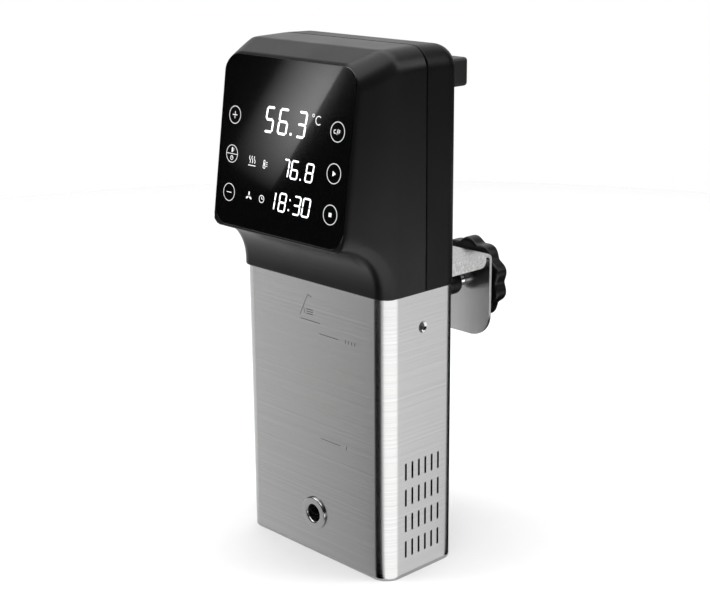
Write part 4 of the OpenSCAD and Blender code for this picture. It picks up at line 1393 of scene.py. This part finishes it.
@dataclass
class Sleeve:
    """The brushed steel sleeve with its slots, marks, outlet and side screws."""

    radius: float = 11.8
    wall: float = 1.2
    columns: int = 6
    rows: int = 4
    pitch: float = 6.3
    row_pitch: float = 19.0
    first_row: float = 20.0
    slot: Point2 = (1.9, 12.4)
    screw_z: float = 176.0
    dimple: float = 4.0
    outlet_z: float = 30.2
    outlet_hole: float = 8.2
    bracket_hole: float = 2.1
    bracket_inset: float = 4.2
    cut_reach: float = 3.0

    def __post_init__(self) -> None:
        """Read the sleeve's size from the frame."""
        self.low, self.high = box_mm("sleeve")
        self.width = self.high.x - self.low.x
        self.depth = self.high.y - self.low.y
        self.height = self.high.z

    def build(self) -> None:
        """Build and dress every piece of the sleeve."""
        self.build_sheet()
        self.build_marks()
        self.build_eyelet()
        self.build_side_screws()

    def build_sheet(self) -> None:
        """Build the sleeve's sheet and cut its slots and holes."""
        sheet = Piece("steel_sleeve", "sleeve_steel", "body")
        outer = rounded_rect(self.width, self.depth, self.radius, 18)
        inner = rounded_rect(self.width - 2 * self.wall, self.depth - 2 * self.wall,
                             self.radius - self.wall, 18)
        levels = [(outer, 0.0), (outer, self.height), (inner, self.height), (inner, 0.0)]
        sheet.loft([[(x, y, z) for x, y in ring] for ring, z in levels], closed=True)
        made = sheet.finish_up(bevel=0.22, angle=50, replaces=["sleeve"])
        holes = Piece("holes", "sleeve_steel", "body")
        wide, tall = self.slot
        stadium = rounded_rect(wide, tall, wide / 2 - 0.01, 6)
        along_x = turn_about("Z", 90) @ turn_about("X", 90)
        for column in range(self.columns):
            for row in range(self.rows):
                y = (column - (self.columns - 1) / 2) * self.pitch
                z = self.first_row + row * self.row_pitch
                place = Matrix.Translation((0, y, z)) @ along_x
                for side in (-1, 1):
                    edge = side * self.width / 2
                    holes.prism(stadium, place, edge - self.cut_reach, edge + self.cut_reach)
        for side in (-1, 1):
            edge = side * self.width / 2
            place = Matrix.Translation((0, 0, self.screw_z)) @ along_x
            holes.prism(arc((0, 0), self.dimple, 0, 350, 35), place, edge - self.cut_reach,
                        edge + self.cut_reach)
        holes.prism(arc((0, 0), self.outlet_hole, 0, 350, 35), along_y(0, self.outlet_z),
                    -40, -30)
        low, high = box_mm("bracket_screws")
        inset = self.bracket_inset
        x = high.x - inset
        for sx in (-x, x):
            for z in (low.z + inset, high.z - inset):
                holes.prism(arc((0, 0), self.bracket_hole, 0, 345, 23), along_y(sx, z), 30, 38)
        cut(made, holes)

    def build_marks(self) -> None:
        """Build the etched level lines and the small etched picture on the front."""
        front = self.low.y
        marks = Piece("etched_marks", "etch_grey", "body", "sleeve_steel")
        place = Matrix.Translation((0, front, 0)) @ turn_about("X", 90)

        def stroke(start: Point2, end: Point2, width: float) -> None:
            a, b = Vector(start), Vector(end)
            along = (b - a).normalized()
            side = Vector((-along.y, along.x)) * width / 2
            marks.prism([tuple(p) for p in (a - side, b - side, b + side, a + side)], place,
                        -0.02, 0.015)

        for start, end, width in (
                ((-3.2, 190.4), (-11.6, 174.6), 0.42), ((-3.4, 190.2), (0.2, 189.0), 0.42),
                ((-11.3, 172.0), (8.7, 172.0), 0.45), ((-7.6, 181.0), (-6.8, 176.4), 0.4),
                ((7.8, 164.6), (26.6, 164.6), 0.40), ((7.5, 88.5), (27.4, 88.5), 0.40)):
            stroke(start, end, width)
        for z in (176.6, 178.2, 179.8):
            stroke((-5.0, z), (1.6, z), 0.5)
        for z, count in ((164.6, 4), (88.5, 1)):
            for i in range(count):
                x = 33.4 + i * 3.0
                stroke((x, z - 1.3), (x + 0.5, z + 1.3), 0.5)
        marks.finish_up(weighted=False)

    def build_eyelet(self) -> None:
        """Turn the outlet's eyelet, with a rolled flange and an open bore."""
        low, high = box_mm("outlet_eyelet")
        face, bore, spigot = high.x, 6.2, 7.9
        sheet = self.low.y
        proud = sheet - low.y
        roll = 0.85
        profile = ([(bore, -(high.y - sheet)), (bore, proud - 2.4)]
                   + [(bore + 1.6 - 1.6 * math.cos(t), proud - 1.6 + 1.6 * math.sin(t))
                      for t in (math.radians(a) for a in (0, 22, 45, 68, 90))]
                   + [(face - 2.6, proud)]
                   + [(face - roll + roll * math.cos(t), proud - roll - 0.1 + roll * math.sin(t))
                      for t in (math.radians(a) for a in (90, 60, 30, 0))]
                   + [(face, 0.04), (spigot, 0.04), (spigot, -(high.y - sheet))])
        piece = Piece("outlet_flange", "bracket_steel", "body", "bright_steel")
        place = Matrix.Translation((0, sheet, self.outlet_z)) @ turn_about("X", 90)
        piece.turned(profile, place, 72)
        piece.finish_up(angle=45, replaces=["outlet_eyelet"])

    def build_side_screws(self) -> None:
        """Build the pressed dimples and the dark screws in them."""
        dimples = Piece("side_dimples", "sleeve_steel", "body")
        screws = Piece("side_screw_heads", "inlet_black", "body", "screw_black")
        for side in (-1, 1):
            place = (Matrix.Translation((side * self.width / 2, 0, self.screw_z))
                     @ turn_about("Y", 90 * side))
            dish = [(self.dimple, 0.0), (self.dimple - 0.25, -0.03), (3.5, -0.35), (2.7, -1.15),
                    (2.15, -1.3), (2.15, -1.75), (3.2, -1.7), (self.dimple, -1.1)]
            dimples.turned(dish, place, 48)
            head = [(0.75, -1.45), (1.9, -1.0), (2.2, -0.95), (2.6, -1.1), (2.75, -1.35),
                    (2.75, -2.2), (0.75, -2.2)]
            screws.turned(head, place, 36)
            screws.prism(arc((0, 0), 0.8, 0, 300, 5), place, -2.2, -1.75)
        dimples.finish_up(angle=45)
        screws.finish_up(angle=45, replaces=["sleeve_screws"])


# ---------------------------------------------------------------- the pot clamp


@dataclass
class PotClamp:
    """The clamp's knob, threaded screw, foot and rubber pad."""

    lobes: int = 10
    lobe_height: float = 1.55
    pitch: float = 1.25
    thread_depth: float = 0.68
    axis_z: float = 172.0
    knob_soft: float = 2.6
    thread_steps: int = 20
    thread_start: float = 7.0
    thread_end: float = 123.5
    foot_bore: float = 4.05
    foot_shoulder: float = 50.0

    def build(self) -> None:
        """Build and dress every moving piece of the clamp."""
        self.build_knob()
        self.build_screw()
        self.build_foot()

    def lobed(self, radius: float, waves: float) -> list[Point2]:
        """Give a lobed outline.

        Args:
            radius: Its largest radius.
            waves: How much of the lobes' height shows, 0 to 1.

        Returns:
            Its points, ten to each lobe.
        """
        points = []
        for i in range(self.lobes * 10):
            turn = math.tau * i / (self.lobes * 10)
            wave = math.cos(self.lobes * (turn - math.radians(18)))
            dip = self.lobe_height * waves * (1 - (0.5 + 0.5 * wave) ** 0.75) * 2
            points.append(((radius - dip) * math.cos(turn), (radius - dip) * math.sin(turn)))
        return points

    def build_knob(self) -> None:
        """Build the knob, with soft edges, a dished front and a hub cap."""
        low, high = box_mm("clamp_knob")
        thick, radius = high.y - low.y, (high.z - low.z) / 2
        soft = self.knob_soft
        steps = [math.radians(a) for a in (0, 22, 45, 67, 90)]
        rings: list[tuple[float, float, float]] = [(10.2, 0.2, 0.0), (11.0, 0.0, 0.0)]
        rings += [(radius - soft + soft * math.sin(t), soft * (1 - math.cos(t)) * 0.7, 1.0)
                  for t in steps]
        rings += [(radius - soft + soft * math.cos(t), thick - soft + soft * math.sin(t), 1.0)
                  for t in steps]
        rings += [(24.6, thick, 0.35), (23.6, thick - 0.3, 0.1), (23.0, thick - 1.2, 0.0),
                  (13.4, thick - 1.9, 0.0), (12.6, thick - 1.7, 0.0), (12.0, thick - 0.3, 0.0),
                  (11.4, thick, 0.0), (3.0, thick, 0.0), (1.0, thick, 0.0)]
        piece = Piece("clamp_grip", "knob_black", "clamp_screw")
        place = along_y(0, self.axis_z)
        loops = [[place @ Vector((x, y, low.y + depth)) for x, y in self.lobed(r, waves)]
                 for r, depth, waves in rings]
        piece.loft(loops)
        piece.finish_up(angle=42, replaces=["clamp_knob"])

    def build_screw(self) -> None:
        """Build the screw with a real right-hand thread."""
        low, high = box_mm("clamp_screw")
        crest = (high.z - low.z) / 2
        root = crest - self.thread_depth
        turn_steps = self.thread_steps
        profile = ((0.00, root), (0.10, root), (0.44, crest), (0.58, crest), (0.96, root))
        start, end = low.y + self.thread_start, self.thread_end
        turns = int((end - start) / self.pitch)
        piece = Piece("threaded_screw", "bright_steel", "clamp_screw")
        points: list[Point3] = []
        for i in range(turns * turn_steps + 1):
            angle = math.tau * i / turn_steps
            for share, radius in profile:
                y = start + (i / turn_steps + share) * self.pitch
                points.append((radius * math.cos(angle), y,
                               self.axis_z - radius * math.sin(angle)))
        count = len(profile)
        total = len(points)
        faces = []
        for i in range(turns * turn_steps):
            for j in range(count):
                a = i * count + j
                b = a + 1 if j < count - 1 else (i + turn_steps) * count
                c, d = a + count, b + count
                if max(a, b, c, d) < total:
                    faces.append([a, b, d, c])
        piece.add(points, faces)
        plain = [(root * 0.2, low.y), (root - 0.5, low.y), (root, low.y + 0.5),
                 (root, start + self.pitch), (root * 0.2, start + self.pitch)]
        neck = [(root * 0.2, end - self.pitch), (root, end - self.pitch), (root, high.y),
                (root * 0.2, high.y)]
        place = along_y(0, self.axis_z)
        for outline in (plain, neck):
            piece.turned(outline, place, 24)
        piece.finish_up(angle=60, replaces=["clamp_screw"], weighted=False)

    def build_foot(self) -> None:
        """Turn the foot, with a stepped collar, and its rubber pad with ridges."""
        low, high = box_mm("clamp_foot")
        radius, bore = (high.z - low.z) / 2, self.foot_bore
        place = along_y(0, self.axis_z)
        shoulder = self.foot_shoulder
        body = [(bore, low.y + 8), (radius - 2.5, low.y + 8), (radius - 2.5, shoulder),
                (radius - 0.8, shoulder), (radius, shoulder + 0.8)]
        for i in range(3):
            y = high.y - 9.0 + i * 2.4
            body += [(radius, y), (radius - 0.35, y + 0.3), (radius - 0.35, y + 0.7),
                     (radius, y + 1.0)]
        body += [(radius, high.y - 1.2), (radius - 0.35, high.y - 0.35),
                 (radius - 1.2, high.y), (bore, high.y)]
        foot = Piece("foot_barrel", "knob_black", "clamp_foot")
        foot.turned(body, place, 56)
        foot.finish_up(angle=40, replaces=["clamp_foot"])
        low, high = box_mm("foot_pad")
        wide = (high.z - low.z) / 2
        pad = [(0.6, low.y), (0.6, low.y + 2.6), (6.65, low.y + 2.6), (6.65, high.y),
               (wide - 0.9, high.y), (wide - 0.25, high.y - 0.3), (wide, high.y - 1.0),
               (wide, low.y + 1.2), (wide - 0.4, low.y + 0.35), (wide - 1.2, low.y)]
        for ring in (8.6, 6.6, 4.6, 2.6):
            pad += [(ring + 0.5, low.y), (ring + 0.2, low.y + 0.6), (ring - 0.2, low.y + 0.6),
                    (ring - 0.5, low.y)]
        rubber = Piece("rubber_pad", "seal_rubber", "clamp_foot")
        rubber.turned(pad, place, 56)
        rubber.finish_up(angle=40, replaces=["foot_pad"])


# ---------------------------------------------------------------- the CAD nodes that stay


@dataclass
class CadPieces:
    """Dresses the CAD nodes that show as they are."""

    finish_names: dict[str, str]
    edge: float = 0.3
    thin: float = 3.0
    crease: float = 50.0
    weld_gap: float = 0.002

    @classmethod
    def from_record(cls) -> "CadPieces":
        """Read each node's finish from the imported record."""
        rows = frame["record"]["subparts"]
        names = {row["node"]: row["material_slot"] for row in rows}
        names["clamp_bracket"] = "bracket_steel"
        return cls(names)

    def dress(self) -> None:
        """Give every shown CAD node its finish and softened edges."""
        for name, node in frame["nodes"].items():
            for place in node.material_slots:
                place.material = Paints.get(self.finish_names[name])
            if node.hide_render:
                continue
            weld = node.modifiers.new("weld", "WELD")
            weld.merge_threshold = self.weld_gap * MM
            low, high = box_mm(name)
            small = min(high - low) < self.thin
            soften(node, self.edge / 2 if small else self.edge, 2, self.crease, True)
            LOG.info("%s: dressed as %s", name, self.finish_names[name])


# ---------------------------------------------------------------- the studio


class Fade(Enum):
    """How a reflector's brightness changes over its face."""

    NONE = 0
    ENDS = 1


@dataclass(frozen=True)
class Reflector:
    """A studio card that only shows in reflections, bright or dark."""

    name: str
    centre_mm: Point3
    faces_mm: Point3
    width: float
    height: float
    left: float
    right: float
    roll: float = 0.0
    fade: Fade = Fade.NONE

    def build(self) -> None:
        """Build the card, turned to face its point, and hide it from everything but gloss."""
        mesh = bmesh.new()
        bmesh.ops.create_grid(mesh, x_segments=1, y_segments=1, size=0.5)
        card = mesh_object(self.name, mesh, self.material())
        away = Vector(self.faces_mm) - Vector(self.centre_mm)
        turn = away.to_track_quat("Z", "Y").to_matrix().to_4x4()
        size = Matrix.Diagonal((self.width * MM, self.height * MM, 1, 1))
        card.matrix_world = (Matrix.Translation(Vector(self.centre_mm) * MM) @ turn
                             @ turn_about("Z", self.roll) @ size)
        hide_but_gloss(card)

    def material(self) -> bpy.types.Material:
        """Build a glow that changes from the card's left to its right."""
        made, graph, surface = blank_material(self.name)
        light, split = graph.add("Emission"), graph.add("SeparateXYZ")
        graph.feed(split.inputs[0], graph.add("TexCoord").outputs["Object"])
        strength = graph.remap(split.outputs["X"], -0.5, 0.5, self.left, self.right)
        if self.fade is Fade.ENDS:
            off = graph.math("ABSOLUTE", split.outputs["Y"])
            strength = graph.math("MULTIPLY", strength, graph.remap(off, 0.1, 0.5, 1.0, 0.0))
        graph.feed(light.inputs["Strength"], strength)
        graph.feed(surface, light.outputs[0])
        return made


@dataclass(frozen=True)
class FloorFan:
    """A flat glow or shade that fans out over the floor from the sleeve's foot."""

    ACROSS = 16
    ALONG = 4

    name: str
    start: Point2
    start_turn: float
    end: Point2
    end_turn: float
    first: float
    last: float
    reach: float = 1000.0
    near: float = 0.93
    level: float = 1.5

    def build(self) -> None:
        """Build the fan, brightest where its values say, for glossy reflections only."""
        across, along = self.ACROSS, self.ALONG
        mesh = bmesh.new()
        glow = mesh.verts.layers.float.new("glow")
        rows = []
        for i in range(across + 1):
            share = i / across
            foot = Vector(self.start).lerp(Vector(self.end), share)
            turn = math.radians(self.start_turn + (self.end_turn - self.start_turn) * share)
            row = []
            for j in range(along + 1):
                spot = foot + Vector((math.sin(turn), -math.cos(turn))) * self.reach * j / along
                vert = mesh.verts.new((spot.x * MM, spot.y * MM, self.level * MM))
                fade = self.near + (1 - self.near) * j / along
                vert[glow] = (self.first + (self.last - self.first) * share) * fade
                row.append(vert)
            rows.append(row)
        for a, b in zip(rows, rows[1:]):
            for j in range(along):
                mesh.faces.new((a[j], b[j], b[j + 1], a[j + 1]))
        card = mesh_object(self.name, mesh, self.material())
        hide_but_gloss(card)

    def material(self) -> bpy.types.Material:
        """Build a glow that follows the fan's values."""
        made, graph, surface = blank_material(self.name)
        light, value = graph.add("Emission"), graph.add("Attribute", attribute_name="glow")
        graph.feed(light.inputs["Strength"], value.outputs["Fac"])
        graph.feed(surface, light.outputs[0])
        return made


def hide_but_gloss(card: bpy.types.Object) -> None:
    """Leave a card visible to reflections only."""
    card.visible_camera = False
    card.visible_diffuse = False
    card.visible_shadow = False
    card.visible_transmission = False


@dataclass
class Studio:
    """A pale floor, soft lights, reflectors and the camera."""

    camera_place: Point3 = (0.71142, -0.66976, 0.46297)
    azimuth: float = 46.44
    elevation: float = 16.36
    roll: float = -0.50
    lens: float = 74.2
    floor_radius: float = 1.3
    room_colour: tuple[float, float, float, float] = (0.9, 0.95, 1.0, 1.0)
    room_light: float = 0.012

    def build(self) -> None:
        """Build the camera, the floor, the surroundings, the lights and the reflectors."""
        bpy.context.scene.view_settings.view_transform = "Standard"
        self.build_camera()
        self.build_floor()
        self.build_surroundings()
        middle = (0.0, 0.0, 0.18)
        for name, place, size, power in (
                ("overhead", (0.0, 0.0, 2.3), (3.2, 3.2), 105.0),
                ("left_front", (-1.0, -1.1, 1.5), (0.9, 0.9), 10.0),
                ("right_back", (1.3, 1.1, 1.2), (0.7, 1.0), 10.0)):
            self.light(name, place, size, power, middle)
        for card in (
                Reflector("glass_glow", (-1107.2, -1052.8, 409.0), (10.0, -57.0, 304.0), 95.0,
                          340.0, 2.2, 0.0, roll=19.0, fade=Fade.ENDS),
                Reflector("top_glow", (-1050.0, 950.0, 900.0), (0.0, 0.0, 350.0), 2400.0,
                          1300.0, 0.9, 0.9),
                FloorFan("front_fan", (-85.0, -34.4), -52.0, (62.0, -34.4), -41.0, 1.12, 0.68),
                FloorFan("dark_fan", (62.0, -34.4), -40.0, (67.5, -32.8), 13.0, 0.0, 0.0),
                FloorFan("corner_fan", (68.5, -32.2), 27.0, (73.4, -23.0), 122.0, 2.7, 2.7),
                FloorFan("side_fan", (73.4, -23.0), 124.0, (73.4, 24.0), 141.0, 1.55, 1.50),
                FloorFan("rear_fan", (73.4, 24.0), 152.0, (66.0, 36.0), 225.0, 0.0, 0.0)):
            card.build()

    def build_camera(self) -> None:
        """Place the camera and make it the scene's."""
        data = bpy.data.cameras.new("camera")
        data.lens = self.lens
        data.sensor_width = 36.0
        data.clip_start, data.clip_end = 0.05, 60.0
        camera = link_new("camera", data)
        turn, rise = math.radians(self.azimuth), math.radians(self.elevation)
        ahead = Vector((-math.sin(turn) * math.cos(rise), math.cos(turn) * math.cos(rise),
                        -math.sin(rise)))
        right = ahead.cross(Vector((0, 0, 1))).normalized()
        up = right.cross(ahead)
        tilt = math.radians(self.roll)
        right, up = (right * math.cos(tilt) + up * math.sin(tilt),
                     up * math.cos(tilt) - right * math.sin(tilt))
        axes = Matrix((right, up, -ahead)).transposed()
        camera.matrix_world = Matrix.Translation(self.camera_place) @ axes.to_4x4()
        bpy.context.scene.camera = camera

    def build_floor(self) -> None:
        """Lay a round floor of pale paper."""
        mesh = bmesh.new()
        bmesh.ops.create_circle(mesh, cap_ends=True, segments=96, radius=self.floor_radius)
        floor = mesh_object("floor", mesh, Paints.get("floor_paper"))

    def build_surroundings(self) -> None:
        """Fill the room with a dim grey that looks pale where it shows behind the floor."""
        world = bpy.data.worlds.new("studio")
        world.use_nodes = True
        bpy.context.scene.world = world
        graph = Graph(world.node_tree)
        world.node_tree.nodes.clear()
        out = graph.add("OutputWorld")
        dim, pale = graph.add("Background"), graph.add("Background")
        graph.feed(dim.inputs["Color"], self.room_colour)
        graph.feed(dim.inputs["Strength"], self.room_light)
        graph.feed(pale.inputs["Color"], (1.0, 1.0, 1.0, 1.0))
        graph.feed(pale.inputs["Strength"], 1.0)
        path, mix = graph.add("LightPath"), graph.add("MixShader")
        for socket, value in zip(mix.inputs, (path.outputs["Is Camera Ray"], dim.outputs[0],
                                              pale.outputs[0])):
            graph.feed(socket, value)
        graph.feed(out.inputs["Surface"], mix.outputs[0])

    @staticmethod
    def light(name: str, place: Point3, size: Point2, power: float, aim: Point3) -> None:
        """Hang one soft light.

        Args:
            name: The light's name.
            place: Where it hangs, in metres.
            size: Its width and height in metres.
            power: Its power in watts.
            aim: The point that it faces, in metres.
        """
        data = bpy.data.lights.new(name, "AREA")
        data.shape = "RECTANGLE"
        data.size, data.size_y = size
        data.energy = power
        lamp = link_new(name, data)
        lamp.location = place
        ahead = Vector(aim) - Vector(place)
        lamp.rotation_euler = ahead.to_track_quat("-Z", "Y").to_euler()


def main() -> None:
    """Build the studio and every piece of the circulator."""
    logging.basicConfig(level=logging.INFO, format="%(name)s: %(message)s")
    Studio().build()
    head = Head()
    head.build()
    TouchPanel(head).build()
    CarryHandle().build()
    Sleeve().build()
    PotClamp().build()
    CadPieces.from_record().dress()


if __name__ == "__main__":
    main()
